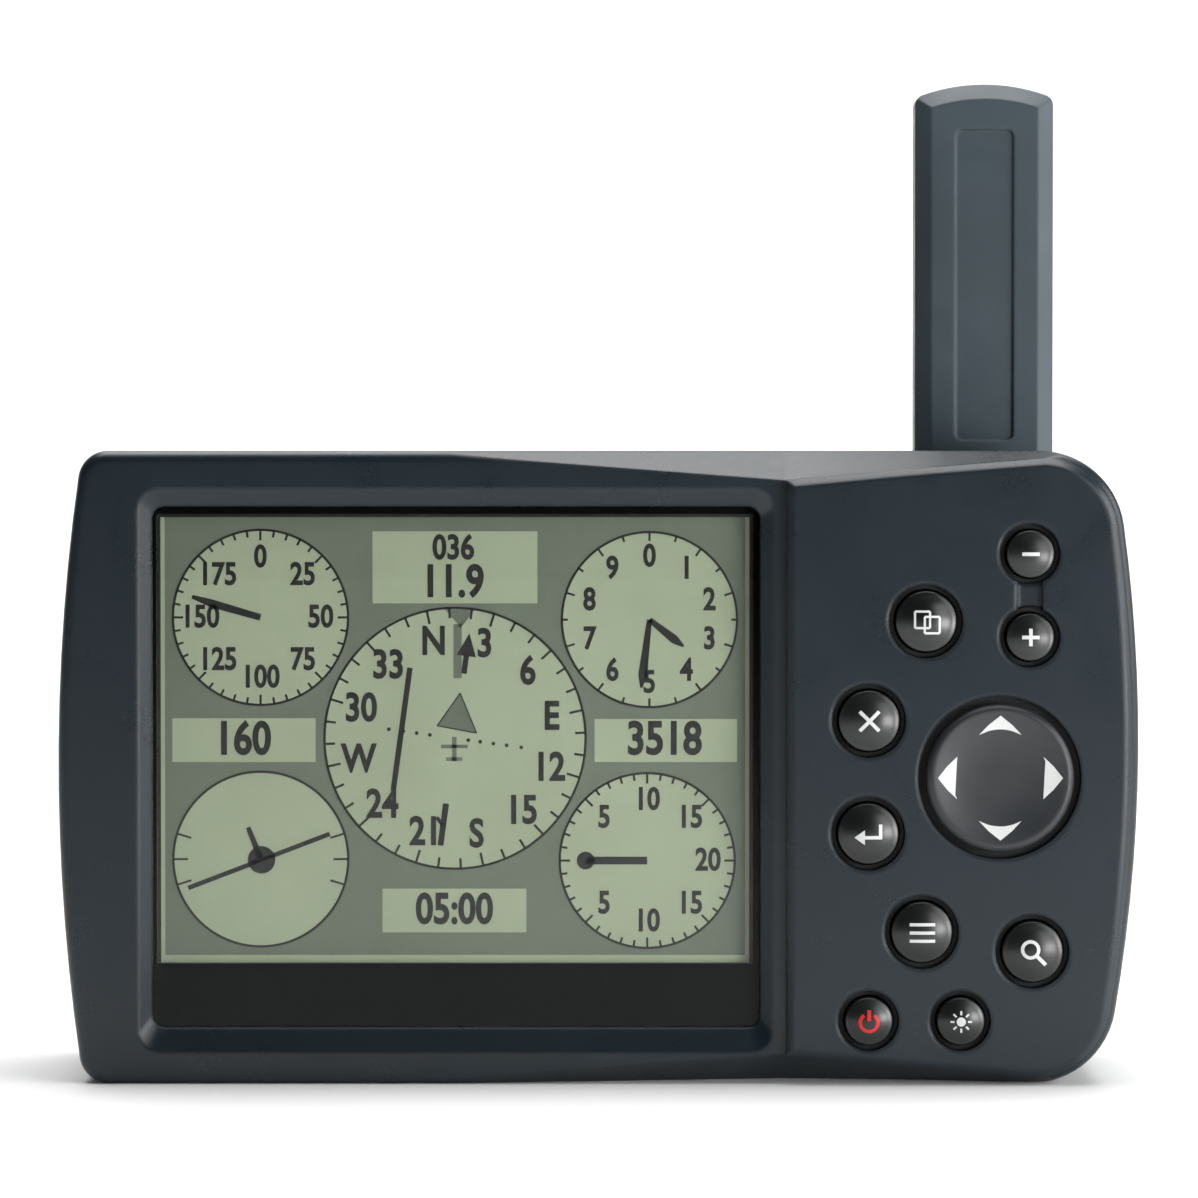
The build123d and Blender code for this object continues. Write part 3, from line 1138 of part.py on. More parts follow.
def card_slot():
    """Connector on the main board that takes the card."""
    body = block(CARD_X - SLOT_BODY_W / 2, CARD_X + SLOT_BODY_W / 2, BOARD_BACK_Y,
                 BOARD_BACK_Y + SLOT_BODY_L, CARD_Z - SLOT_BODY_H / 2, CARD_Z + SLOT_BODY_H / 2)
    return body - block(CARD_X - CARD_T / 2 - CARD_GAP, CARD_X + CARD_T / 2 + CARD_GAP,
                        CARD_END_Y - CARD_L - CARD_GAP, BIG,
                        CARD_Z - CARD_W / 2 - CARD_GAP, CARD_Z + CARD_W / 2 + CARD_GAP)


def antenna_jack():
    """Bayonet jack through the step's wall: flange inside, barrel and lugs outside."""
    inside = STEP_Y - WALL
    jack = rod(ANT_X, ANT_Z, JACK_FLANGE_R, inside - JACK_FLANGE_T, inside)
    for x, z in CASE_POINTS:
        jack -= rod(x, z, CASE_COLUMN_R + JACK_COLUMN_GAP, inside - JACK_FLANGE_T, inside)
    jack += rod(ANT_X, ANT_Z, JACK_THREAD_R, inside, STEP_Y + JACK_NUT_T)
    end = STEP_Y + JACK_BARREL_END
    jack += rod(ANT_X, ANT_Z, JACK_BARREL_R, STEP_Y + JACK_NUT_T, end)
    for side in (-1, 1):
        reach = JACK_BARREL_R + JACK_LUG_H
        ends = sorted((ANT_X + side * (JACK_BORE_R + JACK_LUG_ROOT), ANT_X + side * reach))
        jack += rod_x(end - JACK_LUG_BACK, ANT_Z, JACK_LUG_R, ends[0], ends[1])
    return jack - rod(ANT_X, ANT_Z, JACK_BORE_R, STEP_Y - 1, end)


def jack_nut():
    """Hexagon nut on the jack's thread."""
    nut = slab(Pos(ANT_X, ANT_Z) * RegularPolygon(JACK_NUT_AF / 2, NUT_SIDES, major_radius=False),
               STEP_Y, STEP_Y + JACK_NUT_T)
    return nut - rod(ANT_X, ANT_Z, JACK_THREAD_R + SNUG_GAP, STEP_Y - 1, STEP_Y + JACK_NUT_T + 1)


def jack_insulator():
    """White insulator in the jack with the centre contact standing from it."""
    base = STEP_Y - 1
    disc = rod(ANT_X, ANT_Z, JACK_BORE_R - SNUG_GAP, base, base + INSULATOR_T)
    return disc + rod(ANT_X, ANT_Z, JACK_PIN_R, base + INSULATOR_T, base + INSULATOR_T + JACK_PIN_L)


def bayonet_collar():
    """Fluted turning collar of the antenna plug."""
    collar = rod(ANT_X, ANT_Z, COLLAR_R, COLLAR_Y0, COLLAR_Y0 + COLLAR_L)
    collar -= rod(ANT_X, ANT_Z, COLLAR_BORE_R, COLLAR_Y0 - 1, COLLAR_Y0 + COLLAR_L + 1)
    for place in PolarLocations(COLLAR_R + COLLAR_FLUTE_OUT, COLLAR_FLUTES):
        flute = Pos(ANT_X, ANT_Z) * place * Circle(COLLAR_FLUTE_R)
        collar -= slab(flute, COLLAR_Y0 + COLLAR_FLUTE_START, COLLAR_Y0 + COLLAR_L - COLLAR_FLUTE_STOP)
    return collar


def antenna_elbow():
    """Swivelling elbow: stem in the jack, plate, and two ears for the hinge pin."""
    plate_y1 = ELBOW_PLATE_Y + ELBOW_PLATE_T
    stem_y0 = STEP_Y + JACK_BARREL_END + ELBOW_GAP - ELBOW_STEM_L
    elbow = rod(ANT_X, ANT_Z, ELBOW_STEM_R, stem_y0, ELBOW_PLATE_Y)
    hub_y0 = STEP_Y + JACK_BARREL_END + ELBOW_GAP
    elbow += rod(ANT_X, ANT_Z, ELBOW_HUB_R, min(hub_y0, ELBOW_PLATE_Y - ELBOW_HUB_MIN), ELBOW_PLATE_Y)
    elbow += plate(ANT_X - EAR_OUT, ANT_X + EAR_OUT, ANT_Z - EAR_R, ANT_Z + EAR_R, ELBOW_CORNER_R,
                   ELBOW_PLATE_Y, plate_y1)
    for low, high in ((-EAR_OUT, -EAR_IN), (EAR_IN, EAR_OUT)):
        ear = rod_x(HINGE_Y, ANT_Z, EAR_R, ANT_X + low, ANT_X + high)
        ear += block(ANT_X + low, ANT_X + high, ELBOW_PLATE_Y, HINGE_Y, ANT_Z - EAR_R, ANT_Z + EAR_R)
        elbow += ear
    inner = rod(ANT_X, ANT_Z, JACK_PIN_R + ELBOW_PIN_GAP, stem_y0 - 1, stem_y0 + ELBOW_PIN_DEPTH)
    bore = rod_x(HINGE_Y, ANT_Z, HINGE_PIN_R + PIN_CLEAR, ANT_X - 2 * EAR_OUT, ANT_X + 2 * EAR_OUT)
    return elbow - inner - bore


def antenna_hinge_pin():
    """Pin through the elbow's ears and the knuckle."""
    return rod_x(HINGE_Y, ANT_Z, HINGE_PIN_R, ANT_X - EAR_OUT, ANT_X + EAR_OUT)


def antenna_knuckle():
    """Knuckle between the ears, with a root clamped inside the paddle."""
    half = EAR_IN - KNUCKLE_GAP
    knuckle = rod_x(HINGE_Y, ANT_Z, KNUCKLE_R, ANT_X - half, ANT_X + half)
    depth = PADDLE_T / 2 - PADDLE_WALL - ROOT_GAP
    knuckle += block(ANT_X - half, ANT_X + half, HINGE_Y - depth, HINGE_Y + depth,
                     ANT_Z, PADDLE_Z0 + KNUCKLE_ROOT)
    return knuckle - rod_x(HINGE_Y, ANT_Z, HINGE_PIN_R + PIN_CLEAR, ANT_X - EAR_OUT, ANT_X + EAR_OUT)


def paddle_outline(corner_radius):
    """Front view of the paddle: straight sides and an arched top."""
    x0, x1 = ANT_X - PADDLE_W / 2, ANT_X + PADDLE_W / 2
    shoulder = PADDLE_TOP - PADDLE_ARCH
    sides = Polyline((x0, shoulder), (x0, PADDLE_Z0), (x1, PADDLE_Z0), (x1, shoulder))
    arch = ThreePointArc((x1, shoulder), (ANT_X, PADDLE_TOP), (x0, shoulder))
    face = make_face(sides + arch)
    return fillet(face.vertices(), corner_radius) if corner_radius else face


def paddle_cavity():
    """Hollow inside the two paddle shells, open below for the knuckle."""
    x0, x1 = ANT_X - PADDLE_W / 2 + PADDLE_BEVEL_W, ANT_X + PADDLE_W / 2 - PADDLE_BEVEL_W
    y0, y1 = PADDLE_Y0 + PADDLE_WALL, PADDLE_Y0 + PADDLE_T - PADDLE_WALL
    root_end = PADDLE_Z0 + KNUCKLE_ROOT + ROOT_END_GAP
    hollow = block(x0, x1, y0, y1, root_end, PADDLE_TOP - PADDLE_ARCH - PADDLE_HEAD)
    half = EAR_IN - KNUCKLE_GAP + ROOT_SIDE_GAP
    return hollow + block(ANT_X - half, ANT_X + half, y0, y1, PADDLE_Z0 - 1, root_end + CUT_OVER)


def antenna_front_shell():
    """Front half of the paddle: wide bevels and a plain sunk panel."""
    wide = paddle_outline(0)
    narrow = offset(wide, amount=-PADDLE_BEVEL_W, kind=Kind.INTERSECTION)
    bevel_y = PADDLE_Y0 + PADDLE_BEVEL_T
    bevel = loft([facing(PADDLE_Y0) * narrow, facing(bevel_y) * wide], ruled=True)
    shell = (bevel + slab(wide, bevel_y, PADDLE_SPLIT_Y)) & slab(
        paddle_outline(PADDLE_CORNER_R), PADDLE_Y0, PADDLE_SPLIT_Y)
    top = PADDLE_TOP - PADDLE_ARCH - PADDLE_RECESS_TOP
    shell -= plate(ANT_X - PADDLE_RECESS_W / 2, ANT_X + PADDLE_RECESS_W / 2, top - PADDLE_RECESS_L, top,
                   PADDLE_RECESS_R, PADDLE_Y0 - 1, PADDLE_Y0 + PADDLE_RECESS_DEPTH)
    return shell - paddle_cavity()


def antenna_rear_shell():
    """Rear half of the paddle."""
    shell = slab(paddle_outline(PADDLE_CORNER_R), PADDLE_SPLIT_Y, PADDLE_Y0 + PADDLE_T)
    shell = chamfer(shell.faces().sort_by(Axis.Y)[-1].edges(), PADDLE_BACK_EDGE)
    return shell - paddle_cavity()


def antenna_element():
    """Receiving element in the paddle."""
    top = PADDLE_TOP - PADDLE_ARCH - PADDLE_HEAD - ELEMENT_GAP
    return block(ANT_X - ELEMENT_W / 2, ANT_X + ELEMENT_W / 2, PADDLE_SPLIT_Y - ELEMENT_T / 2,
                 PADDLE_SPLIT_Y + ELEMENT_T / 2, top - ELEMENT_H, top)


def data_socket_shell():
    """Round socket for the data and power plug."""
    y1 = BACK_Y + SOCKET_FLANGE_T
    bottom = y1 - SOCKET_BORE_L - SOCKET_INNER_L
    shell = rod(SOCKET_X, SOCKET_Z, SOCKET_R, bottom - SOCKET_FLOOR_T, y1)
    shell += rod(SOCKET_X, SOCKET_Z, SOCKET_FLANGE_R, BACK_Y, y1)
    shell -= rod(SOCKET_X, SOCKET_Z, SOCKET_BORE_R, y1 - SOCKET_BORE_L, y1 + 1)
    shell -= rod(SOCKET_X, SOCKET_Z, SOCKET_INNER_R, bottom, y1)
    for x, z in socket_pin_places():
        shell -= rod(x, z, SOCKET_PIN_R, bottom - SOCKET_FLOOR_T - 1, y1)
    return shell


def socket_pin_places():
    """Pins on their circle."""
    return [(SOCKET_X + place.position.X, SOCKET_Z + place.position.Y)
            for place in PolarLocations(SOCKET_PIN_PCD / 2, SOCKET_PINS, start_angle=SOCKET_PIN_TURN)]


def data_socket_pins():
    """Contact pins, ending below the socket's bore."""
    y1 = BACK_Y + SOCKET_FLANGE_T - SOCKET_BORE_L - SOCKET_PIN_SHORT
    y0 = BACK_Y + SOCKET_FLANGE_T - SOCKET_BORE_L - SOCKET_INNER_L - SOCKET_FLOOR_T - SOCKET_PIN_TAIL
    return group([rod(x, z, SOCKET_PIN_R, y0, y1) for x, z in socket_pin_places()])


def data_socket_nut():
    """Round nut that holds the socket from inside."""
    y1 = BACK_Y - WALL
    nut = rod(SOCKET_X, SOCKET_Z, SOCKET_NUT_R, y1 - SOCKET_NUT_T, y1)
    return nut - rod(SOCKET_X, SOCKET_Z, SOCKET_R + SNUG_GAP, y1 - SOCKET_NUT_T - 1, y1 + 1)


def build_nodes():
    """Every node of the assembly by name."""
    nodes = {
        "front_housing": front_housing(),
        "rear_housing": rear_housing(),
        "housing_gasket": housing_gasket(),
        "display_window": display_window(),
        "screen_mask": screen_mask(),
        "lcd_glass": lcd_layer(LCD_Y, GUIDE_Y),
        "backlight_guide": lcd_layer(GUIDE_Y, REFLECTOR_Y),
        "backlight_reflector": lcd_layer(REFLECTOR_Y, FRAME_END_Y),
        "lcd_frame": lcd_frame(),
        "lcd_flex": lcd_flex(),
        "main_board": main_board(),
        "board_screws": small_screws(board_screw_places(), BOARD_BACK_Y),
        "shield_can": shield_can(),
        "board_chips": board_chips(),
        "backup_cell": backup_cell(),
        "beeper": beeper(),
        "rf_connector": rf_connector(),
        "antenna_coax": antenna_coax(),
        "keypad_board": keypad_board(),
        "keypad_screws": small_screws(screw_places(KEYPAD_SCREWS), KEYPAD_BOARD_Y + KEYPAD_BOARD_T),
        "dome_switches": dome_switches(),
        "key_mat": key_mat(),
        "interboard_connector": interboard_connector(),
        "rocker_carrier": rocker_carrier(),
        "rocker_ring": rocker_ring(),
        "rocker_disc": rocker_disc(),
        "rocker_actuator": rocker_actuator(),
        "case_screws": case_screws(),
        "battery_cells": battery_cells(),
        "battery_springs": battery_springs(),
        "battery_plates": battery_plates(),
        "battery_door": battery_door(),
        "door_seal": door_seal(),
        "door_latch": door_latch(),
        "latch_ring": latch_ring(),
        "data_card": data_card(),
        "card_slot": card_slot(),
        "antenna_jack": antenna_jack(),
        "jack_nut": jack_nut(),
        "jack_insulator": jack_insulator(),
        "bayonet_collar": bayonet_collar(),
        "antenna_elbow": antenna_elbow(),
        "antenna_hinge_pin": antenna_hinge_pin(),
        "antenna_knuckle": antenna_knuckle(),
        "antenna_front_shell": antenna_front_shell(),
        "antenna_rear_shell": antenna_rear_shell(),
        "antenna_element": antenna_element(),
        "data_socket_shell": data_socket_shell(),
        "data_socket_pins": data_socket_pins(),
        "data_socket_nut": data_socket_nut(),
    }
    for name in KEYS:
        nodes[name] = key_cap(name)
    return nodes


os.makedirs("parts", exist_ok=True)
for node_name, shape in build_nodes().items():
    export_step(shape, "parts/" + node_name + ".step")
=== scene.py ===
"""Looks of a portable aviation GPS receiver: finishes, display image, keys, antenna and studio."""
import logging
import math
from dataclasses import dataclass, field
from enum import Enum
from typing import Callable, Optional

import bmesh
import bpy
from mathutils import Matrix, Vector


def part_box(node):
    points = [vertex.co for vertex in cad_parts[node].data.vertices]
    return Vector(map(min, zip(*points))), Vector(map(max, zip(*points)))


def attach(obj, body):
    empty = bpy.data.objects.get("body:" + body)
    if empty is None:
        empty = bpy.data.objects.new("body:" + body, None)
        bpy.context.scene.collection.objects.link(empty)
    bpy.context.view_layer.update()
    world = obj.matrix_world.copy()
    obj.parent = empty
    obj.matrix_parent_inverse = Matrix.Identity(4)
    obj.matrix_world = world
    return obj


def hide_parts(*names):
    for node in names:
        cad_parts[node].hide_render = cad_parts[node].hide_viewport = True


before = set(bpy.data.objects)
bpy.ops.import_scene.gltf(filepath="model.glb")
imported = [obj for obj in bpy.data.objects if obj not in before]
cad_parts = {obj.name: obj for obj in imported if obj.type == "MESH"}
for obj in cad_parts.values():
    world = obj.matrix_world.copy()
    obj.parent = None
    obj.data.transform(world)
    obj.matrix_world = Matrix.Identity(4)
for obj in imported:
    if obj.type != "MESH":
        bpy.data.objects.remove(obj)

MM = 0.001
SEAM_Y = -0.009
DUST_GREY = (0.45, 0.44, 0.42, 1.0)
# Colour of the painted shade in the seam between the shells.
SEAM_SHADE = (0.002, 0.002, 0.002, 1.0)
RUBBED_METAL = (0.85, 0.85, 0.84, 1.0)
BLACK = (0.0, 0.0, 0.0, 1.0)
RUBBED_GAIN = 1.9
RUBBED_LIFT = 0.02
COAT_ROUGHNESS = 0.25
METAL_DULL = 0.72
METAL_SMUDGE = 0.14
METAL_EDGE = 0.0002
METAL_WORN = 0.5
GLASS_DIM = 0.97
PRINT_DARK = 0.95
TRACK_LIGHT = 1.8
GRAIN_ROUGHENS = 0.08
FONT_SIZE_TO_HEIGHT = 1.4
ON_AXIS = 1e-9
LOG = logging.getLogger("receiver")
Point = tuple[float, float]
Stroke = tuple[Point, Point, float]
Color = tuple[float, float, float]


# ------------------------------------------------------------------ shader helpers

def tint(red: int, green: int, blue: int) -> Color:
    """Linear colour of a screen colour given as 0 to 255.

    Args:
        red: red channel.
        green: green channel.
        blue: blue channel.

    Returns:
        The colour as the shaders take it.
    """
    def linear(value: int) -> float:
        """One channel, screen to linear."""
        part = value / 255
        return part / 12.92 if part <= 0.04045 else ((part + 0.055) / 1.055) ** 2.4

    return linear(red), linear(green), linear(blue)


class Graph:
    """Adds nodes to a shader tree and links them."""

    def __init__(self, tree: bpy.types.NodeTree) -> None:
        """Start on a tree with no nodes."""
        self.tree = tree
        tree.nodes.clear()

    def add(self, kind: str, options: Optional[dict] = None, **inputs: object) -> bpy.types.Node:
        """Add a node, set its options, and set or link its inputs.

        Args:
            kind: the node type without its "ShaderNode" prefix, or a full type name.
            options: attributes of the node.
            inputs: input values or output sockets, by input name with _ for a space, or i0, i1.

        Returns:
            The new node.
        """
        full = kind if kind.startswith("Node") else "ShaderNode" + kind
        node = self.tree.nodes.new(full)
        for key, value in (options or {}).items():
            setattr(node, key, value)
        for key, value in inputs.items():
            index = int(key[1:]) if key[0] == "i" and key[1:].isdigit() else key.replace("_", " ")
            socket = node.inputs[index]
            if isinstance(value, bpy.types.NodeSocket):
                self.tree.links.new(value, socket)
            else:
                socket.default_value = value
        return node

    def place(self) -> bpy.types.NodeSocket:
        """Place on the object, in metres."""
        return self.add("TexCoord").outputs["Object"]

    def send(self, socket: bpy.types.NodeSocket, node: bpy.types.Node, name: str) -> None:
        """Link an output to a node's named input."""
        self.tree.links.new(socket, node.inputs[name])

    def math(self, operation: str, first: object, second: object = 0.0) -> bpy.types.NodeSocket:
        """Output of a Math node."""
        return self.add("Math", {"operation": operation}, i0=first, i1=second).outputs[0]

    def blend(self, mask: object, first: object, second: object) -> bpy.types.NodeSocket:
        """Output of a colour mix from first to second by mask."""
        node = self.add("Mix", {"data_type": "RGBA"}, i0=mask, i6=first, i7=second)
        return node.outputs[2]

    def ramp(self, value: object, low: float, high: float, out_low: float = 0.0,
             out_high: float = 1.0) -> bpy.types.NodeSocket:
        """Output of a clamped map range."""
        return self.add("MapRange", {"clamp": True}, Value=value, From_Min=low, From_Max=high,
                        To_Min=out_low, To_Max=out_high).outputs[0]


def rgba(color: Color) -> tuple[float, float, float, float]:
    """A colour with full alpha."""
    return (*color, 1.0)


def scaled(color: Color, factor: float) -> Color:
    """A colour times a factor."""
    return tuple(channel * factor for channel in color)


class Effects:
    """Shader node groups that several finishes share."""

    def __init__(self) -> None:
        """Build every group once."""
        self.grain = self._grain()
        self.wear = self._wear()
        self.smudge = self._smudge()
        self.brushed = self._brushed()
        self.cell_grid = self._cell_grid()
        self.dust = self._dust()
        self.parting = self._parting()

    @staticmethod
    def _open(name: str, inputs: dict[str, float], outputs: dict[str, str]) -> tuple[Graph, bpy.types.Node,
                                                                                    bpy.types.Node]:
        """Make an empty group with its sockets.

        Args:
            name: the group's name.
            inputs: float inputs and their defaults.
            outputs: outputs and their kinds, such as "Float".

        Returns:
            The group's graph, its input node and its output node.
        """
        tree = bpy.data.node_groups.new(name, "ShaderNodeTree")
        for key, value in inputs.items():
            socket = tree.interface.new_socket(key, in_out="INPUT", socket_type="NodeSocketFloat")
            socket.default_value = value
        for key, kind in outputs.items():
            tree.interface.new_socket(key, in_out="OUTPUT", socket_type="NodeSocket" + kind)
        graph = Graph(tree)
        return graph, graph.add("NodeGroupInput"), graph.add("NodeGroupOutput")

    def _grain(self) -> bpy.types.NodeTree:
        """Moulded grain: fine pits for the bump and a broad drift of tone.

        Returns:
            The group.
        """
        graph, source, sink = self._open(
            "moulded_grain", {"Scale": 3200.0}, {"Height": "Float", "Drift": "Float"})
        place = graph.place()
        fine = graph.add("TexNoise", Vector=place, Scale=source.outputs[0], Detail=2.0, Roughness=0.6)
        pits = graph.add("TexVoronoi", {"feature": "F1"}, Vector=place, Scale=source.outputs[0])
        mixed = graph.math("ADD", graph.math("MULTIPLY", fine.outputs[0], 0.6),
                           graph.math("MULTIPLY", pits.outputs["Distance"], 0.4))
        broad = graph.add("TexNoise", Vector=place, Scale=38.0, Detail=3.0, Roughness=0.55)
        graph.send(mixed, sink, "Height")
        graph.send(graph.ramp(broad.outputs[0], 0.3, 0.7), sink, "Drift")
        return graph.tree

    def _wear(self) -> bpy.types.NodeTree:
        """Rubbed edges: where the rounded normal leaves the flat one, broken up by noise.

        Returns:
            The group.
        """
        graph, source, sink = self._open(
            "edge_wear", {"Radius": 0.0005, "Amount": 1.0}, {"Mask": "Float", "Rounded": "Vector"})
        rounded = graph.add("Bevel", {"samples": 4}, Radius=source.outputs["Radius"])
        flat = graph.add("NewGeometry").outputs["Normal"]
        facing = graph.add("VectorMath", {"operation": "DOT_PRODUCT"}, i0=rounded.outputs[0], i1=flat)
        edge = graph.ramp(facing.outputs["Value"], 0.995, 0.86)
        place = graph.place()
        chips = graph.add("TexNoise", Vector=place, Scale=420.0, Detail=4.0, Roughness=0.7)
        broken = graph.math("MULTIPLY", edge, graph.ramp(chips.outputs[0], 0.42, 0.62))
        graph.send(graph.math("MULTIPLY", broken, source.outputs["Amount"]), sink, "Mask")
        graph.send(rounded.outputs[0], sink, "Rounded")
        return graph.tree

    def _smudge(self) -> bpy.types.NodeTree:
        """Soft patches left by fingers, for the roughness.

        Returns:
            The group.
        """
        graph, source, sink = self._open("finger_smudge", {"Scale": 90.0}, {"Mask": "Float"})
        place = graph.place()
        blot = graph.add("TexNoise", Vector=place, Scale=source.outputs[0], Detail=5.0, Distortion=0.8)
        graph.send(graph.ramp(blot.outputs[0], 0.42, 0.68), sink, "Mask")
        return graph.tree

    def _brushed(self) -> bpy.types.NodeTree:
        """Fine drawn lines on metal.

        Returns:
            The group.
        """
        graph, source, sink = self._open("drawn_lines", {"Scale": 900.0}, {"Lines": "Float"})
        place = graph.place()
        long = graph.add("Mapping", Vector=place, Scale=(1.0, 1.0, 0.06))
        lines = graph.add("TexNoise", Vector=long.outputs[0], Scale=source.outputs[0], Detail=3.0)
        graph.send(lines.outputs[0], sink, "Lines")
        return graph.tree

    def _cell_grid(self) -> bpy.types.NodeTree:
        """Display cells: a faint grid of darker gaps.

        Returns:
            The group.
        """
        graph, source, sink = self._open(
            "display_cells", {"Pitch": 0.00025, "Depth": 0.1}, {"Shade": "Float"})
        place = graph.add("SeparateXYZ", Vector=graph.place())
        gaps = []
        for axis in ("X", "Z"):
            cell = graph.math("FRACT", graph.math("DIVIDE", place.outputs[axis], source.outputs["Pitch"]))
            gaps.append(graph.math("GREATER_THAN", cell, 0.82))
        grid = graph.math("MAXIMUM", gaps[0], gaps[1])
        shade = graph.math("SUBTRACT", 1.0, graph.math("MULTIPLY", grid, source.outputs["Depth"]))
        graph.send(shade, sink, "Shade")
        return graph.tree

    def _dust(self) -> bpy.types.NodeTree:
        """Thin dust on faces that look up.

        Returns:
            The group.
        """
        graph, source, sink = self._open("settled_dust", {"Amount": 0.2}, {"Mask": "Float"})
        up = graph.add("SeparateXYZ", Vector=graph.add("NewGeometry").outputs["Normal"]).outputs["Z"]
        place = graph.place()
        specks = graph.add("TexNoise", Vector=place, Scale=700.0, Detail=6.0, Roughness=0.8)
        mask = graph.math("MULTIPLY", graph.ramp(up, 0.5, 1.0), graph.ramp(specks.outputs[0], 0.5, 0.75))
        graph.send(graph.math("MULTIPLY", mask, source.outputs["Amount"]), sink, "Mask")
        return graph.tree

    def _parting(self) -> bpy.types.NodeTree:
        """Painted shade: a dark line where two shells meet, at a depth along Y, standing for the shadow in the
        seam.

        Returns:
            The group.
        """
        graph, source, sink = self._open("parting_line_shade", {"Place": 0.0, "Width": 0.00014}, {"Mask": "Float"})
        depth = graph.add("SeparateXYZ", Vector=graph.place()).outputs["Y"]
        away = graph.math("ABSOLUTE", graph.math("SUBTRACT", depth, source.outputs["Place"]))
        near = graph.math("SUBTRACT", 1.0, graph.math("DIVIDE", away, source.outputs["Width"]))
        graph.send(graph.ramp(near, 0.0, 0.4), sink, "Mask")
        return graph.tree


# ------------------------------------------------------------------ finishes

class Finish:
    """Base of every finish: keeps the material it made."""

    name: str

    def material(self, effects: Effects) -> bpy.types.Material:
        """The material, built the first time it is asked for.

        Args:
            effects: the shared node groups.

        Returns:
            The material.
        """
        found = bpy.data.materials.get("finish_" + self.name)
        if found is None:
            found = bpy.data.materials.new("finish_" + self.name)
            found.use_nodes = True
            self.build(Graph(found.node_tree), effects)
        return found

    def build(self, graph: Graph, effects: Effects) -> None:
        """Fill the material's tree."""
        raise NotImplementedError

    @staticmethod
    def group(graph: Graph, tree: bpy.types.NodeTree, **inputs: object) -> bpy.types.Node:
        """Place a node group with its own values.

        Args:
            graph: the material's tree.
            tree: the group.
            inputs: values or sockets, by input name.

        Returns:
            The group's node.
        """
        node = graph.tree.nodes.new("ShaderNodeGroup")
        node.node_tree = tree
        for key, value in inputs.items():
            socket = node.inputs[key]
            if isinstance(value, bpy.types.NodeSocket):
                graph.tree.links.new(value, socket)
            else:
                socket.default_value = value
        return node

    @staticmethod
    def surface(graph: Graph, base: object, rough: object, height: bpy.types.NodeSocket,
                bump: tuple[float, float], normal: Optional[bpy.types.NodeSocket] = None,
                **more: object) -> None:
        """Bump, shader and output that an opaque finish ends with.

        Args:
            graph: the material's tree.
            base: colour.
            rough: roughness.
            height: height of the bump.
            bump: strength of the bump and its depth in metres.
            normal: normal that the bump starts from.
            more: further inputs of the shader.
        """
        lean = {} if normal is None else {"Normal": normal}
        raised = graph.add("Bump", Strength=bump[0], Distance=bump[1], Height=height, **lean)
        shader = graph.add("BsdfPrincipled", Base_Color=base, Roughness=rough, Normal=raised.outputs[0],
                           **more)
        Finish.close(graph, shader.outputs[0])

    @staticmethod
    def close(graph: Graph, shader: bpy.types.NodeSocket) -> None:
        """Link a shader to the output."""
        sink = graph.add("OutputMaterial")
        graph.send(shader, sink, "Surface")


@dataclass(frozen=True)
class Plastic(Finish):
    """Moulded plastic or rubber with grain, drift, smudges and rubbed edges."""

    name: str
    color: Color
    roughness: float = 0.45
    grain: float = 3200.0
    depth: float = 0.00002
    worn: float = 0.35
    edge: float = 0.0004
    drift: float = 0.14
    coat: float = 0.0
    dusty: float = 0.12
    specular: float = 0.5
    smudged: float = 0.1
    parting: Optional[float] = None

    def build(self, graph: Graph, effects: Effects) -> None:
        """Fill the material's tree.

        Args:
            graph: the material's tree.
            effects: the shared node groups.
        """
        grain = self.group(graph, effects.grain, Scale=self.grain)
        wear = self.group(graph, effects.wear, Radius=self.edge, Amount=self.worn)
        smudge = self.group(graph, effects.smudge)
        dust = self.group(graph, effects.dust, Amount=self.dusty)
        deep = scaled(self.color, 1 - self.drift)
        high = scaled(self.color, 1 + self.drift)
        rubbed = tuple(min(1.0, channel * RUBBED_GAIN + RUBBED_LIFT) for channel in self.color)
        base = graph.blend(grain.outputs["Drift"], rgba(deep), rgba(high))
        base = graph.blend(wear.outputs["Mask"], base, rgba(rubbed))
        base = graph.blend(dust.outputs["Mask"], base, DUST_GREY)
        # Painted shade: a dark line along the seam between the shells, at the depth in parting.
        if self.parting is not None:
            parting = self.group(graph, effects.parting, Place=self.parting)
            base = graph.blend(parting.outputs["Mask"], base, SEAM_SHADE)
        rough = graph.math("SUBTRACT", self.roughness,
                           graph.math("MULTIPLY", smudge.outputs["Mask"], self.smudged))
        rough = graph.math("ADD", rough, graph.math("MULTIPLY", grain.outputs["Height"], GRAIN_ROUGHENS))
        self.surface(graph, base, rough, grain.outputs["Height"], (0.5, self.depth), wear.outputs["Rounded"],
                     Coat_Weight=self.coat, Coat_Roughness=COAT_ROUGHNESS, Specular_IOR_Level=self.specular)


@dataclass(frozen=True)
class Metal(Finish):
    """Plated, drawn or pressed metal."""

    name: str
    color: Color
    roughness: float = 0.3
    lines: float = 900.0
    depth: float = 0.00001

    def build(self, graph: Graph, effects: Effects) -> None:
        """Fill the material's tree.

        Args:
            graph: the material's tree.
            effects: the shared node groups.
        """
        lines = self.group(graph, effects.brushed, Scale=self.lines)
        wear = self.group(graph, effects.wear, Radius=METAL_EDGE, Amount=METAL_WORN)
        smudge = self.group(graph, effects.smudge, Scale=160.0)
        dull = scaled(self.color, METAL_DULL)
        base = graph.blend(lines.outputs["Lines"], rgba(dull), rgba(self.color))
        base = graph.blend(wear.outputs["Mask"], base, RUBBED_METAL)
        rough = graph.math("ADD", self.roughness, graph.math("MULTIPLY", smudge.outputs["Mask"], METAL_SMUDGE))
        self.surface(graph, base, rough, lines.outputs["Lines"], (0.4, self.depth), wear.outputs["Rounded"],
                     Metallic=1.0)


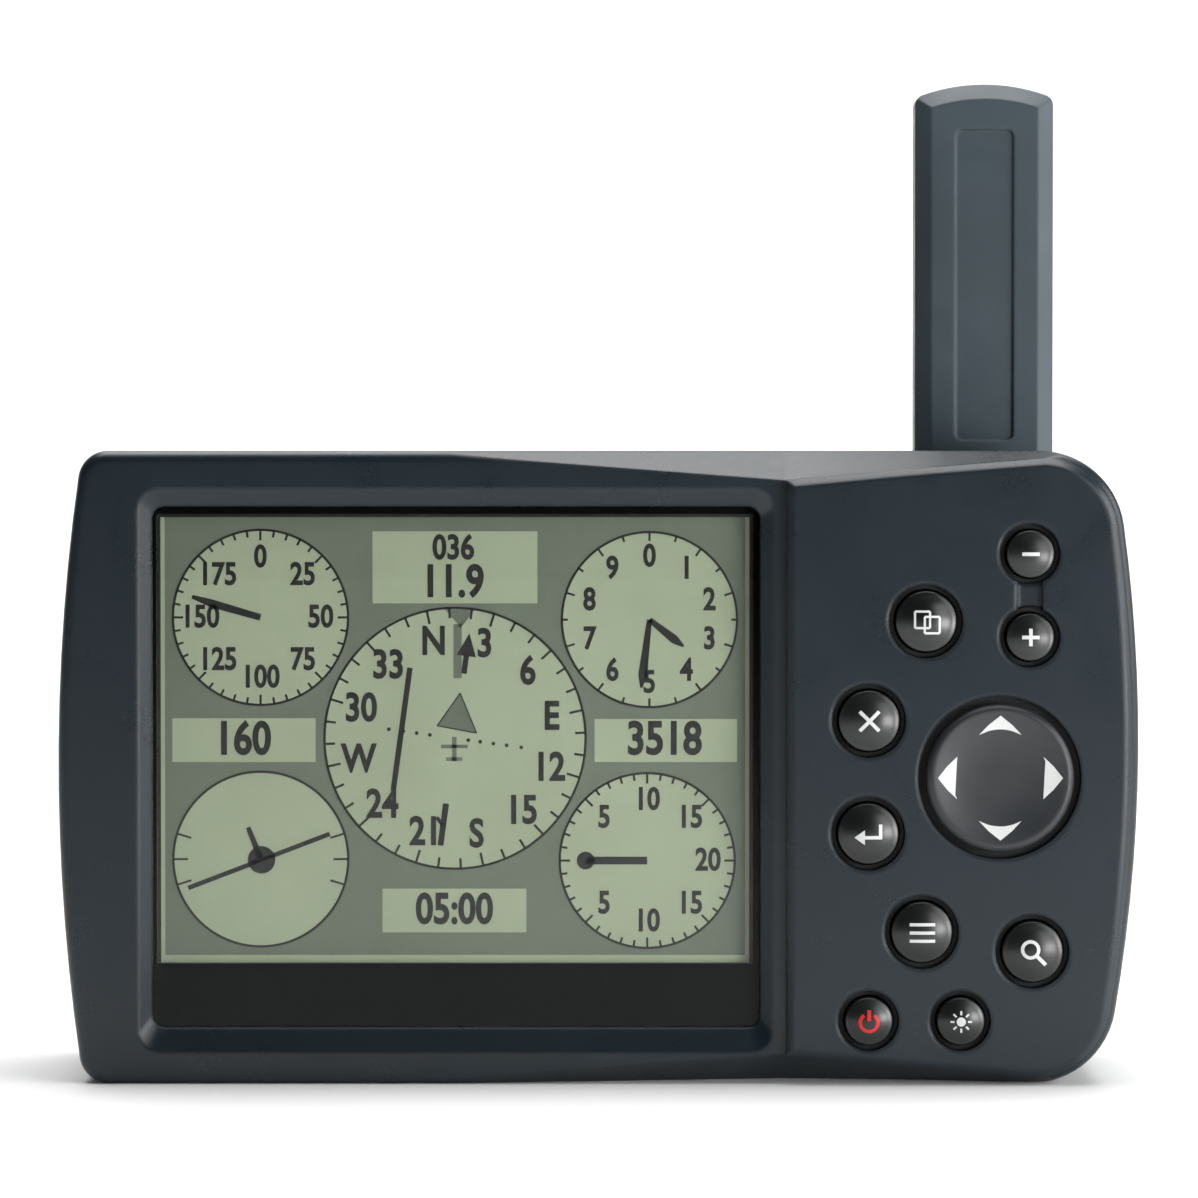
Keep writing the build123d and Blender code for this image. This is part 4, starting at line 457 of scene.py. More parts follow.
@dataclass(frozen=True)
class Clear(Finish):
    """Clear window: smooth, faintly smudged, and open to shadow rays."""

    name: str
    color: Color
    roughness: float = 0.02
    ior: float = 1.35

    def build(self, graph: Graph, effects: Effects) -> None:
        """Fill the material's tree.

        Args:
            graph: the material's tree.
            effects: the shared node groups.
        """
        smudge = self.group(graph, effects.smudge, Scale=55.0)
        rough = graph.math("ADD", self.roughness, graph.math("MULTIPLY", smudge.outputs["Mask"], 0.02))
        dim = scaled(self.color, GLASS_DIM)
        base = graph.blend(smudge.outputs["Mask"], rgba(self.color), rgba(dim))
        shader = graph.add("BsdfPrincipled", Base_Color=base, Roughness=rough, IOR=self.ior,
                           Transmission_Weight=1.0)
        through = graph.add("BsdfTransparent", Color=rgba(self.color))
        shadow = graph.add("LightPath").outputs["Is Shadow Ray"]
        mixed = graph.add("MixShader", i0=shadow, i1=shader.outputs[0], i2=through.outputs[0])
        self.close(graph, mixed.outputs[0])


@dataclass(frozen=True)
class Printed(Finish):
    """Thin printed or displayed layer: even colour broken by display cells and a slight drift."""

    name: str
    color: Color
    roughness: float = 0.4
    cells: float = 0.06

    def build(self, graph: Graph, effects: Effects) -> None:
        """Fill the material's tree.

        Args:
            graph: the material's tree.
            effects: the shared node groups.
        """
        cells = self.group(graph, effects.cell_grid, Depth=self.cells)
        grain = self.group(graph, effects.grain, Scale=1500.0)
        dark = scaled(self.color, PRINT_DARK)
        base = graph.blend(grain.outputs["Drift"], rgba(dark), rgba(self.color))
        base = graph.blend(cells.outputs["Shade"], BLACK, base)
        rough = graph.math("ADD", self.roughness, graph.math("MULTIPLY", grain.outputs["Height"], 0.06))
        self.surface(graph, base, rough, grain.outputs["Height"], (0.2, 0.000005))


@dataclass(frozen=True)
class Laminate(Finish):
    """Circuit board: solder mask over a faint pattern of tracks."""

    name: str
    color: Color

    def build(self, graph: Graph, effects: Effects) -> None:
        """Fill the material's tree.

        Args:
            graph: the material's tree.
            effects: the shared node groups.
        """
        place = graph.place()
        turned = graph.add("Mapping", Vector=place, Rotation=(math.pi / 2, 0.0, 0.0))
        tracks = graph.add("TexBrick", Vector=turned.outputs[0], Scale=260.0, Mortar_Size=0.03)
        grain = self.group(graph, effects.grain, Scale=900.0)
        light = scaled(self.color, TRACK_LIGHT)
        base = graph.blend(tracks.outputs["Fac"], rgba(self.color), rgba(light))
        rough = graph.math("ADD", 0.3, graph.math("MULTIPLY", grain.outputs["Drift"], 0.15))
        self.surface(graph, base, rough, tracks.outputs["Fac"], (0.5, 0.00003))


class Finishes(Enum):
    """Every finish of the receiver."""

    HOUSING = Plastic("housing_slate", tint(16, 29, 37), 0.28, 3000.0, 0.00002, worn=0.15, edge=0.0009,
                      drift=0.08, dusty=0.05, smudged=0.05, parting=SEAM_Y)
    REAR = Plastic("housing_slate_rear", tint(34, 45, 52), 0.45, 2600.0, 0.00004, worn=0.2, edge=0.0006,
                   drift=0.08, dusty=0.06, smudged=0.05, parting=SEAM_Y)
    KEY = Plastic("key_gloss_black", tint(7, 10, 11), 0.34, 5200.0, 0.000006, worn=0.0, edge=0.00015,
                  drift=0.1, coat=0.35, dusty=0.0)
    ROCKER = Plastic("rocker_charcoal", tint(40, 43, 46), 0.36, 4200.0, 0.00001, worn=0.15, edge=0.0002,
                     drift=0.1, dusty=0.0)
    # Painted shade: a black liner laid in the key and rocker wells, standing for their shadow.
    WELL = Plastic("well_painted_shade", tint(5, 6, 7), 0.6, 3000.0, 0.00002, worn=0.0, edge=0.0002, drift=0.1,
                   dusty=0.0)
    # Painted light: the antenna's tone is set lighter than the housing's for how the light falls on it.
    ANTENNA = Plastic("antenna_slate", tint(56, 69, 76), 0.4, 3000.0, 0.00003, worn=0.2, edge=0.0006,
                      drift=0.12, dusty=0.05)
    MASK = Plastic("mask_black", tint(12, 17, 16), 0.4, 5200.0, 0.000004, worn=0.0, edge=0.0001,
                   drift=0.08, dusty=0.0, specular=0.2)
    RUBBER = Plastic("rubber_black", tint(24, 25, 26), 0.75, 2200.0, 0.00004, 0.1)
    SILICONE = Plastic("silicone_grey", tint(120, 124, 126), 0.6, 2600.0, 0.00003, 0.05)
    CHIP = Plastic("chip_black", tint(26, 27, 28), 0.55, 3600.0, 0.00002, 0.1)
    WHITE = Plastic("moulded_white", tint(226, 226, 218), 0.5, 3000.0, 0.00002, 0.1)
    CELL = Plastic("cell_wrap", tint(34, 38, 42), 0.3, 4000.0, 0.00001, 0.15)
    CARD = Plastic("card_blue", tint(34, 46, 86), 0.4, 3600.0, 0.00002, 0.2)
    CERAMIC = Plastic("element_ceramic", tint(196, 182, 150), 0.6, 2400.0, 0.00003, 0.1)
    FLEX = Plastic("flex_amber", tint(186, 116, 40), 0.35, 2400.0, 0.00001, 0.05)
    STEEL = Metal("steel_bright", (0.55, 0.56, 0.57), 0.32)
    SCREW = Metal("screw_dark", (0.18, 0.18, 0.19), 0.38)
    NICKEL = Metal("nickel_plate", (0.66, 0.62, 0.52), 0.25)
    WINDOW = Clear("window_clear", (0.97, 0.985, 0.975), 0.01, 1.25)
    GUIDE = Clear("guide_clear", (0.95, 0.97, 0.98), 0.15, 1.3)
    BOARD = Laminate("board_green", tint(18, 74, 42))
    SCREEN = Printed("display_field", tint(94, 102, 88), 0.5, 0.05)
    DIAL = Printed("display_dial", tint(147, 156, 131), 0.5, 0.05)
    GREY = Printed("display_grey", tint(88, 95, 82), 0.5, 0.05)
    MARK = Printed("display_mark", tint(8, 10, 8), 0.5, 0.0)
    LEGEND = Printed("legend_white", tint(212, 214, 212), 0.45, 0.0)
    LEGEND_RED = Printed("legend_red", tint(206, 32, 28), 0.45, 0.0)


def dress(obj: bpy.types.Object, finish: Finishes, effects: Effects) -> None:
    """Give an object one finish in place of what it had.

    Args:
        obj: the object.
        finish: the finish.
        effects: the shared node groups.
    """
    material = finish.value.material(effects)
    if obj.material_slots:
        for slot in obj.material_slots:
            slot.material = material
    else:
        obj.data.materials.append(material)


# ------------------------------------------------------------------ mesh helpers

def new_object(name: str, mesh: bpy.types.Mesh, smooth: bool = True) -> bpy.types.Object:
    """Put a mesh in the scene as an object.

    Args:
        name: the object's name.
        mesh: its mesh.
        smooth: whether its faces are shaded smooth.

    Returns:
        The object.
    """
    obj = bpy.data.objects.new(name, mesh)
    bpy.context.scene.collection.objects.link(obj)
    mesh.polygons.foreach_set("use_smooth", [smooth] * len(mesh.polygons))
    return obj


def from_bmesh(name: str, shape: bmesh.types.BMesh, smooth: bool = True) -> bpy.types.Object:
    """Turn a bmesh into an object and free it.

    Args:
        name: the object's name.
        shape: its shape.
        smooth: whether its faces are shaded smooth.

    Returns:
        The object.
    """
    mesh = bpy.data.meshes.new(name)
    shape.to_mesh(mesh)
    shape.free()
    return new_object(name, mesh, smooth)


def ring_of(shape: bmesh.types.BMesh, radius: float, depth: float, centre: Point,
            segments: int) -> list[bmesh.types.BMVert]:
    """Corners round a line along Y.

    Args:
        shape: what the corners are added to.
        radius: radius in metres.
        depth: Y in metres.
        centre: X and Z of the axis.
        segments: corners round.

    Returns:
        The corners, in order.
    """
    turn = [2 * math.pi * step / segments for step in range(segments)]
    return [shape.verts.new((centre[0] + radius * math.cos(a), depth, centre[1] + radius * math.sin(a)))
            for a in turn]


def lathe(name: str, profile: list[Point], centre: Point, segments: int = 72) -> bpy.types.Object:
    """Turn a profile about a line along Y.

    Args:
        name: the object's name.
        profile: radius and depth of each ring in metres; it starts and ends on the axis.
        centre: X and Z of the axis.
        segments: faces round.

    Returns:
        The closed object.
    """
    shape = bmesh.new()
    rings = []
    for radius, depth in profile:
        if radius < ON_AXIS:
            rings.append([shape.verts.new((centre[0], depth, centre[1]))])
            continue
        rings.append(ring_of(shape, radius, depth, centre, segments))
    for first, second in zip(rings, rings[1:]):
        for step in range(segments):
            after = (step + 1) % segments
            if len(first) == 1:
                shape.faces.new((first[0], second[step], second[after]))
            elif len(second) == 1:
                shape.faces.new((first[step], second[0], first[after]))
            else:
                shape.faces.new((first[step], second[step], second[after], first[after]))
    bmesh.ops.recalc_face_normals(shape, faces=shape.faces)
    return from_bmesh(name, shape)


def tube(name: str, profile: list[Point], centre: Point, segments: int = 96) -> bpy.types.Object:
    """Turn a closed profile that stays off the axis about a line along Y.

    Args:
        name: the object's name.
        profile: radius and depth of each corner in metres.
        centre: X and Z of the axis.
        segments: faces round.

    Returns:
        The closed ring.
    """
    shape = bmesh.new()
    rings = [ring_of(shape, radius, depth, centre, segments) for radius, depth in profile]
    for first, second in zip(rings, rings[1:] + rings[:1]):
        for step in range(segments):
            after = (step + 1) % segments
            shape.faces.new((first[step], second[step], second[after], first[after]))
    bmesh.ops.recalc_face_normals(shape, faces=shape.faces)
    return from_bmesh(name, shape, smooth=False)


class Ink:
    """Flat shapes drawn in millimetres and laid on a surface as one mesh."""

    def __init__(self, centre: Point = (0.0, 0.0), weight: float = 0.042) -> None:
        """Start with no shapes, about a centre in millimetres, with the weight of the numerals.

        Args:
            centre: where the shapes are laid.
            weight: how bold the numerals are, as a share of their height.
        """
        self.centre = centre
        self.weight = weight
        self.shapes: list[list[Point]] = []

    def polygon(self, points: list[Point]) -> None:
        """Add a simple polygon."""
        self.shapes.append(points)

    def box(self, low: Point, high: Point) -> None:
        """Add a rectangle."""
        self.polygon([low, (high[0], low[1]), high, (low[0], high[1])])

    def disc(self, centre: Point, radius: float, steps: int = 64) -> None:
        """Add a disc."""
        turn = [2 * math.pi * step / steps for step in range(steps)]
        self.polygon([(centre[0] + radius * math.cos(a), centre[1] + radius * math.sin(a)) for a in turn])

    def ring(self, centre: Point, inner: float, outer: float, start: float = 0.0, sweep: float = 360.0,
             steps: int = 72) -> None:
        """Add a ring or part of one; angles run clockwise from the top, in degrees.

        Args:
            centre: its centre.
            inner: inner radius.
            outer: outer radius.
            start: first angle.
            sweep: angle covered.
            steps: pieces it is made of.
        """
        for step in range(steps):
            a0 = math.radians(start + sweep * step / steps)
            a1 = math.radians(start + sweep * (step + 1) / steps)
            self.polygon([
                (centre[0] + radius * math.sin(a), centre[1] + radius * math.cos(a))
                for radius, a in ((inner, a0), (outer, a0), (outer, a1), (inner, a1))])

    def stroke(self, start: Point, end: Point, width: float, end_width: Optional[float] = None) -> None:
        """Add a straight stroke that may taper.

        Args:
            start: first end.
            end: second end.
            width: width at the first end.
            end_width: width at the second end, if it differs.
        """
        dx, dz = end[0] - start[0], end[1] - start[1]
        length = math.hypot(dx, dz)
        nx, nz = -dz / length / 2, dx / length / 2
        far = width if end_width is None else end_width
        self.polygon([
            (start[0] + nx * width, start[1] + nz * width), (start[0] - nx * width, start[1] - nz * width),
            (end[0] - nx * far, end[1] - nz * far), (end[0] + nx * far, end[1] + nz * far)])

    def ticks(self, centre: Point, radius: float, count: int, length: float, width: float,
              start: float = 0.0, every: int = 0, long: float = 0.0) -> None:
        """Add ticks inside a circle, with longer ones at an interval.

        Args:
            centre: the circle's centre.
            radius: the circle's radius.
            count: how many.
            length: length of a tick.
            width: width of a tick.
            start: angle of the first, in degrees.
            every: one tick in this many is longer, or 0.
            long: length of the longer ones.
        """
        for index in range(count):
            a = math.radians(start + 360.0 * index / count)
            reach = long if every and index % every == 0 else length
            out = (centre[0] + radius * math.sin(a), centre[1] + radius * math.cos(a))
            inner = (centre[0] + (radius - reach) * math.sin(a), centre[1] + (radius - reach) * math.cos(a))
            self.stroke(inner, out, width)

    def digits(self, text: str, centre: Point, height: float, narrow: float = 0.82) -> None:
        """Add numerals, upright and centred.

        Args:
            text: the numerals.
            centre: their middle.
            height: their height.
            narrow: width as a share of the natural width.
        """
        curve = bpy.data.curves.new("numeral", "FONT")
        curve.body = text
        curve.size = height * FONT_SIZE_TO_HEIGHT
        curve.offset = height * self.weight
        curve.align_x, curve.align_y = "CENTER", "CENTER"
        curve.resolution_u = 4
        holder = bpy.data.objects.new("numeral", curve)
        bpy.context.scene.collection.objects.link(holder)
        bpy.context.view_layer.update()
        mesh = bpy.data.meshes.new_from_object(holder.evaluated_get(bpy.context.evaluated_depsgraph_get()))
        for face in mesh.polygons:
            self.polygon([(centre[0] + mesh.vertices[v].co.x * narrow, centre[1] + mesh.vertices[v].co.y)
                          for v in face.vertices])
        bpy.data.objects.remove(holder)
        bpy.data.curves.remove(curve)
        bpy.data.meshes.remove(mesh)

    def build(self, name: str, depth: Callable[[float, float], float], cuts: int = 0) -> bpy.types.Object:
        """Make the object.

        Args:
            name: the object's name.
            depth: Y in metres at a place in millimetres from the centre.
            cuts: how often each edge is divided, so the shapes follow a curved surface.

        Returns:
            The object, facing the front.
        """
        shape = bmesh.new()
        for points in self.shapes:
            verts = [shape.verts.new((x * MM, 0.0, z * MM)) for x, z in points]
            shape.faces.new(verts)
        if cuts:
            bmesh.ops.triangulate(shape, faces=[face for face in shape.faces if len(face.verts) > 4])
            bmesh.ops.subdivide_edges(shape, edges=shape.edges[:], cuts=cuts, use_grid_fill=True)
        for vert in shape.verts:
            x, z = vert.co.x / MM, vert.co.z / MM
            vert.co = Vector(((x + self.centre[0]) * MM, depth(x, z), (z + self.centre[1]) * MM))
        for face in shape.faces:
            face.normal_update()
            if face.normal.y > 0:
                face.normal_flip()
        return from_bmesh(name, shape, smooth=bool(cuts))


# ------------------------------------------------------------------ the receiver

@dataclass
class Assembly:
    """Base of the sub-assemblies: the shared effects and the pieces made."""

    effects: Effects
    made: list[bpy.types.Object] = field(default_factory=list)

    def keep(self, obj: bpy.types.Object, body: str, finish: Finishes, slot: str,
             *stands_for: str) -> bpy.types.Object:
        """Dress a piece, let it ride on its body, and hide the CAD nodes it stands for.

        Args:
            obj: the piece.
            body: the CAD body it rides on.
            finish: its finish.
            slot: the record's material slot; not used.
            stands_for: CAD nodes that it replaces.

        Returns:
            The piece.
        """
        dress(obj, finish, self.effects)
        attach(obj, body)
        if stands_for:
            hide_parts(*stands_for)
        self.made.append(obj)
        LOG.info("piece %s on %s", obj.name, body)
        return obj

    def dress_nodes(self, plan: dict[str, Finishes]) -> None:
        """Give CAD nodes their finishes.

        Args:
            plan: finish of each node.
        """
        for node, finish in plan.items():
            dress(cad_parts[node], finish, self.effects)
            LOG.info("dressed %s", node)


@dataclass
class Housings(Assembly):
    """Front and rear housings, seal and fasteners."""

    def build(self) -> None:
        """Dress the shells."""
        self.dress_nodes({
            "front_housing": Finishes.HOUSING,
            "rear_housing": Finishes.REAR,
            "housing_gasket": Finishes.RUBBER,
            "case_screws": Finishes.SCREW,
        })


@dataclass
class Display(Assembly):
    """Window, black mask and the image on the display."""

    border: float = 2.2
    layer: float = 0.02
    text_height: float = 4.1
    dial_radius: float = 11.8
    dial_x: float = 26.2
    dial_z: float = 16.3
    compass_radius: float = 17.6
    compass_turn: float = -12.5
    course: float = 7.8

    def __post_init__(self) -> None:
        """Find the middle of the view and its depth."""
        low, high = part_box("lcd_glass")
        self.face = low.y
        self.centre = ((low.x + high.x) / 2 / MM, (low.z + high.z) / 2 / MM)
        self.half = ((high.x - low.x) / 2 / MM - self.border, (high.z - low.z) / 2 / MM - self.border)

    def sheet(self) -> Ink:
        """An empty layer about the middle of the view."""
        return Ink(self.centre)

    def at(self, level: int) -> Callable[[float, float], float]:
        """Depth of a layer in front of the glass."""
        depth = self.face - level * self.layer * MM
        return lambda x, z: depth

    def build(self) -> None:
        """Draw the image layer by layer and dress the window."""
        self.dress_nodes({
            "display_window": Finishes.WINDOW,
            "screen_mask": Finishes.MASK,
            "lcd_glass": Finishes.SCREEN,
        })
        plain, dials, greys, marks = self.sheet(), self.sheet(), self.sheet(), self.sheet()
        plain.box((-self.half[0] - 1.5, -self.half[1] - 1.5), (self.half[0] + 1.5, self.half[1] + 1.5))
        self.draw_margin(dials)
        # Painted shadow along the top and sides of the view.
        self.draw_frame(marks)
        self.draw_boxes(dials, marks)
        self.draw_speed(dials, marks)
        self.draw_altitude(dials, marks)
        self.draw_bank(dials, marks)
        self.draw_climb(dials, marks)
        self.draw_compass(dials, greys, marks)
        for index, (name, ink, finish) in enumerate((
                ("display_field", plain, Finishes.SCREEN), ("display_dials", dials, Finishes.DIAL),
                ("display_greys", greys, Finishes.GREY), ("display_marks", marks, Finishes.MARK))):
            self.keep(ink.build(name, self.at(index + 1)), "housing", finish, "lcd_surface")

    def draw_margin(self, dials: Ink) -> None:
        """Thin light line round the view.

        Args:
            dials: layer of the light shapes.
        """
        half_x, half_z, line = self.half[0], self.half[1], 1.0
        dials.box((-half_x, -half_z), (half_x, -half_z + line))
        dials.box((-half_x, -half_z + line), (-half_x + line, half_z))
        dials.box((half_x - line, -half_z + line), (half_x, half_z))

    def draw_frame(self, marks: Ink) -> None:
        """Painted shadow: a black frame at the left, top and right edge of the view, where the walls of the
        recess shade it.

        Args:
            marks: layer of the dark marks.
        """
        half_x, half_z, line, over = self.half[0], self.half[1], 0.45, 0.4
        marks.box((-half_x - over, -half_z), (-half_x + line, half_z - line))
        marks.box((half_x - line, -half_z), (half_x + over, half_z - line))
        marks.box((-half_x - over, half_z - line), (half_x + over, half_z + over))

    def draw_boxes(self, dials: Ink, marks: Ink) -> None:
        """Value boxes with their numerals.

        Args:
            dials: layer of the light shapes.
            marks: layer of the dark marks.
        """
        dials.box((-11.1, 18.2), (11.1, 27.9))
        dials.box((-38.1, -3.2), (-18.8, 2.7))
        dials.box((18.8, -3.2), (38.0, 2.6))
        dials.box((-9.8, -26.2), (9.6, -20.3))
        marks.digits("036", (-0.2, 25.6), self.text_height * 0.8)
        marks.digits("11.9", (-0.3, 21.0), self.text_height * 1.05)
        marks.digits("160", (-28.6, -0.2), self.text_height * 1.08)
        marks.digits("3518", (28.2, -0.2), self.text_height * 1.08)
        marks.digits("05:00", (-0.1, -23.2), self.text_height)

    def dial(self, centre: Point, radius: float, dials: Ink, marks: Ink) -> None:
        """A light disc with a thin dark outline."""
        dials.disc(centre, radius, 96)
        marks.ring(centre, radius - 0.16, radius + 0.16, steps=96)

    def numerals(self, marks: Ink, centre: Point, radius: float, labels: list[str], height: float,
                 start: float = 0.0) -> None:
        """Numerals round a dial, clockwise.

        Args:
            marks: layer of the dark marks.
            centre: the dial's centre.
            radius: how far out they stand.
            labels: the numerals, clockwise.
            height: their height.
            start: angle of the first, in degrees.
        """
        for index, label in enumerate(labels):
            a = math.radians(start + 360.0 * index / len(labels))
            marks.digits(label, (centre[0] + radius * math.sin(a), centre[1] + radius * math.cos(a)), height)

    def draw_speed(self, dials: Ink, marks: Ink) -> None:
        """Speed dial at the upper left.

        Args:
            dials: layer of the light shapes.
            marks: layer of the dark marks.
        """
        centre = (-self.dial_x, self.dial_z)
        self.dial(centre, self.dial_radius, dials, marks)
        marks.ticks(centre, self.dial_radius, 40, 0.9, 0.3, every=5, long=1.4)
        self.numerals(marks, centre, 8.1, ["0", "25", "50", "75", "100", "125", "150", "175"], 3.0)
        marks.stroke(centre, (centre[0] - 6.6, centre[1] + 1.9), 0.9, 1.1)
        marks.stroke((centre[0] - 6.6, centre[1] + 1.9), (centre[0] - 9.2, centre[1] + 2.8), 1.1, 0.5)

    def draw_altitude(self, dials: Ink, marks: Ink) -> None:
        """Altitude dial at the upper right.

        Args:
            dials: layer of the light shapes.
            marks: layer of the dark marks.
        """
        centre = (self.dial_x, self.dial_z - 0.3)
        self.dial(centre, self.dial_radius, dials, marks)
        marks.ticks(centre, self.dial_radius, 20, 0.8, 0.3, every=2, long=1.2)
        self.numerals(marks, centre, 8.5, [str(value) for value in range(10)], 3.0)
        marks.stroke(centre, (centre[0] - 0.9, centre[1] - 7.4), 0.7, 1.2)
        marks.stroke((centre[0] - 0.9, centre[1] - 7.4), (centre[0] - 1.1, centre[1] - 9.2), 1.2, 0.3)
        marks.stroke(centre, (centre[0] + 3.4, centre[1] - 2.7), 0.7, 1.2)
        marks.stroke((centre[0] + 3.4, centre[1] - 2.7), (centre[0] + 4.6, centre[1] - 3.6), 1.2, 0.3)

    def draw_bank(self, dials: Ink, marks: Ink) -> None:
        """Bank dial at the lower left.

        Args:
            dials: layer of the light shapes.
            marks: layer of the dark marks.
        """
        centre = (-self.dial_x, -self.dial_z)
        self.dial(centre, self.dial_radius, dials, marks)
        for side in (-90, 90):
            for step in (-17, 0, 17):
                a = math.radians(side + step)
                out = (centre[0] + 11.7 * math.sin(a), centre[1] + 11.7 * math.cos(a))
                inner = (centre[0] + 9.8 * math.sin(a), centre[1] + 9.8 * math.cos(a))
                marks.stroke(inner, out, 0.28)
        marks.disc((centre[0] + 0.1, centre[1] - 0.1), 1.85)
        marks.stroke((centre[0] - 9.8, centre[1] - 3.9), (centre[0] + 9.3, centre[1] + 3.4), 0.62)
        marks.stroke(centre, (centre[0] - 1.7, centre[1] + 4.3), 0.9, 0.6)

    def draw_climb(self, dials: Ink, marks: Ink) -> None:
        """Climb dial at the lower right.

        Args:
            dials: layer of the light shapes.
            marks: layer of the dark marks.
        """
        centre = (self.dial_x - 0.3, -self.dial_z - 0.2)
        self.dial(centre, self.dial_radius, dials, marks)
        marks.ticks(centre, self.dial_radius, 40, 0.9, 0.3, every=5, long=1.4)
        self.numerals(marks, centre, 8.2, ["10", "15", "20", "15", "10", "5", "", "5"], 3.0)
        marks.disc((centre[0] - 8.3, centre[1]), 1.2)
        marks.stroke((centre[0] - 8.3, centre[1]), centre, 1.05)

    def draw_compass(self, dials: Ink, greys: Ink, marks: Ink) -> None:
        """Compass with course arrow, deviation bar, own-ship mark and heading pointer.

        Args:
            dials: layer of the light shapes.
            greys: layer of the grey shapes.
            marks: layer of the dark marks.
        """
        centre = (0.0, 0.0)
        self.dial(centre, self.compass_radius, dials, marks)
        marks.ticks(centre, self.compass_radius, 36, 1.4, 0.32, start=self.compass_turn, every=3, long=1.8)
        labels = ["N", "3", "6", "E", "12", "15", "S", "21", "24", "W", "30", "33"]
        self.numerals(marks, centre, 13.3, labels, 3.8, self.compass_turn)
        a = math.radians(self.course)
        along, across = (math.sin(a), math.cos(a)), (math.cos(a), -math.sin(a))

        def place(forward: float, sideways: float) -> Point:
            """A point in the course's own directions."""
            return (along[0] * forward + across[0] * sideways, along[1] * forward + across[1] * sideways)

        marks.polygon([place(14.3, 0), place(11.2, -1.3), place(11.2, 1.3)])
        marks.stroke(place(8.8, 0), place(11.3, 0), 0.75)
        marks.stroke(place(-8.9, 0), place(-14.6, 0), 0.8)
        marks.stroke(place(-10.9, -1.0), place(-11.9, 0), 0.5)
        marks.stroke(place(-8.1, -7.3), place(8.6, -7.3), 0.75)
        for step in (-5, -3.9, -2.9, -1.9, 1.0, 1.9, 2.9, 3.9, 5.0):
            marks.disc(place(0.0, step * 1.8), 0.26, 12)
        greys.polygon([(0.7, 6.1), (-2.4, 1.7), (2.9, 0.7)])
        for start, end in (((0.7, 6.1), (-2.4, 1.7)), ((-2.4, 1.7), (2.9, 0.7)), ((2.9, 0.7), (0.7, 6.1))):
            marks.stroke(start, end, 0.16)
        greys.polygon([(-1.4, 17.4), (0.8, 14.9), (2.7, 17.4)])
        greys.box((-0.2, 8.1), (0.9, 15.4))
        for shape in (((-1.9, -1.1), (1.7, -1.1)), ((-1.2, -2.8), (1.0, -2.8))):
            greys.stroke(shape[0], shape[1], 0.5)
        greys.stroke((-0.1, 0.2), (-0.1, -3.1), 0.6)


class Sign(Enum):
    """Generic signs that a key's cap may carry."""

    MINUS = "minus"
    PLUS = "plus"
    PAGE = "page"
    CROSS = "cross"
    RETURN = "return"
    BARS = "bars"
    LENS = "lens"
    POWER = "power"
    LAMP = "lamp"


def sheet_strokes() -> tuple[Stroke, ...]:
    """Outlines of two overlapping sheets.

    Returns:
        The strokes, in millimetres.
    """
    strokes = []
    for dx, dz in ((-0.55, 0.25), (0.75, -0.45)):
        left, right, low, high = dx - 1.0, dx + 1.0, dz - 1.1, dz + 1.1
        strokes += [((left, low), (right, low), 0.3), ((right, low), (right, high), 0.3),
                    ((right, high), (left, high), 0.3), ((left, high), (left, low), 0.3)]
    return tuple(strokes)


def ray_strokes() -> tuple[Stroke, ...]:
    """Eight rays round a lamp.

    Returns:
        The strokes, in millimetres.
    """
    turn = [math.pi / 4 * step for step in range(8)]
    return tuple(((0.9 * math.cos(a), 0.9 * math.sin(a)), (1.45 * math.cos(a), 1.45 * math.sin(a)), 0.26)
                 for a in turn)


SIGN_STROKES: dict[Sign, tuple[Stroke, ...]] = {
    Sign.MINUS: (((-1.5, 0.0), (1.5, 0.0), 0.62),),
    Sign.PLUS: (((-1.5, 0.0), (1.5, 0.0), 0.62), ((0.0, 0.31), (0.0, 1.5), 0.62),
                ((0.0, -0.31), (0.0, -1.5), 0.62)),
    Sign.PAGE: sheet_strokes(),
    Sign.CROSS: (((-1.3, -1.3), (1.3, 1.3), 0.48), ((-1.3, 1.3), (1.3, -1.3), 0.48)),
    Sign.RETURN: (((1.6, 1.3), (1.6, -0.45), 0.46), ((1.83, -0.45), (-0.6, -0.45), 0.46)),
    Sign.BARS: tuple(((-1.7, z), (1.7, z), 0.42) for z in (-1.1, 0.0, 1.1)),
    Sign.LENS: (((0.5, -0.5), (1.7, -1.7), 0.5),),
    Sign.POWER: (((0.0, 0.1), (0.0, 1.55), 0.5),),
    Sign.LAMP: ray_strokes(),
}


@dataclass
class Key:
    """One push key: its node and the generic sign on its cap."""

    node: str
    sign: Sign
    finish: Finishes = Finishes.LEGEND


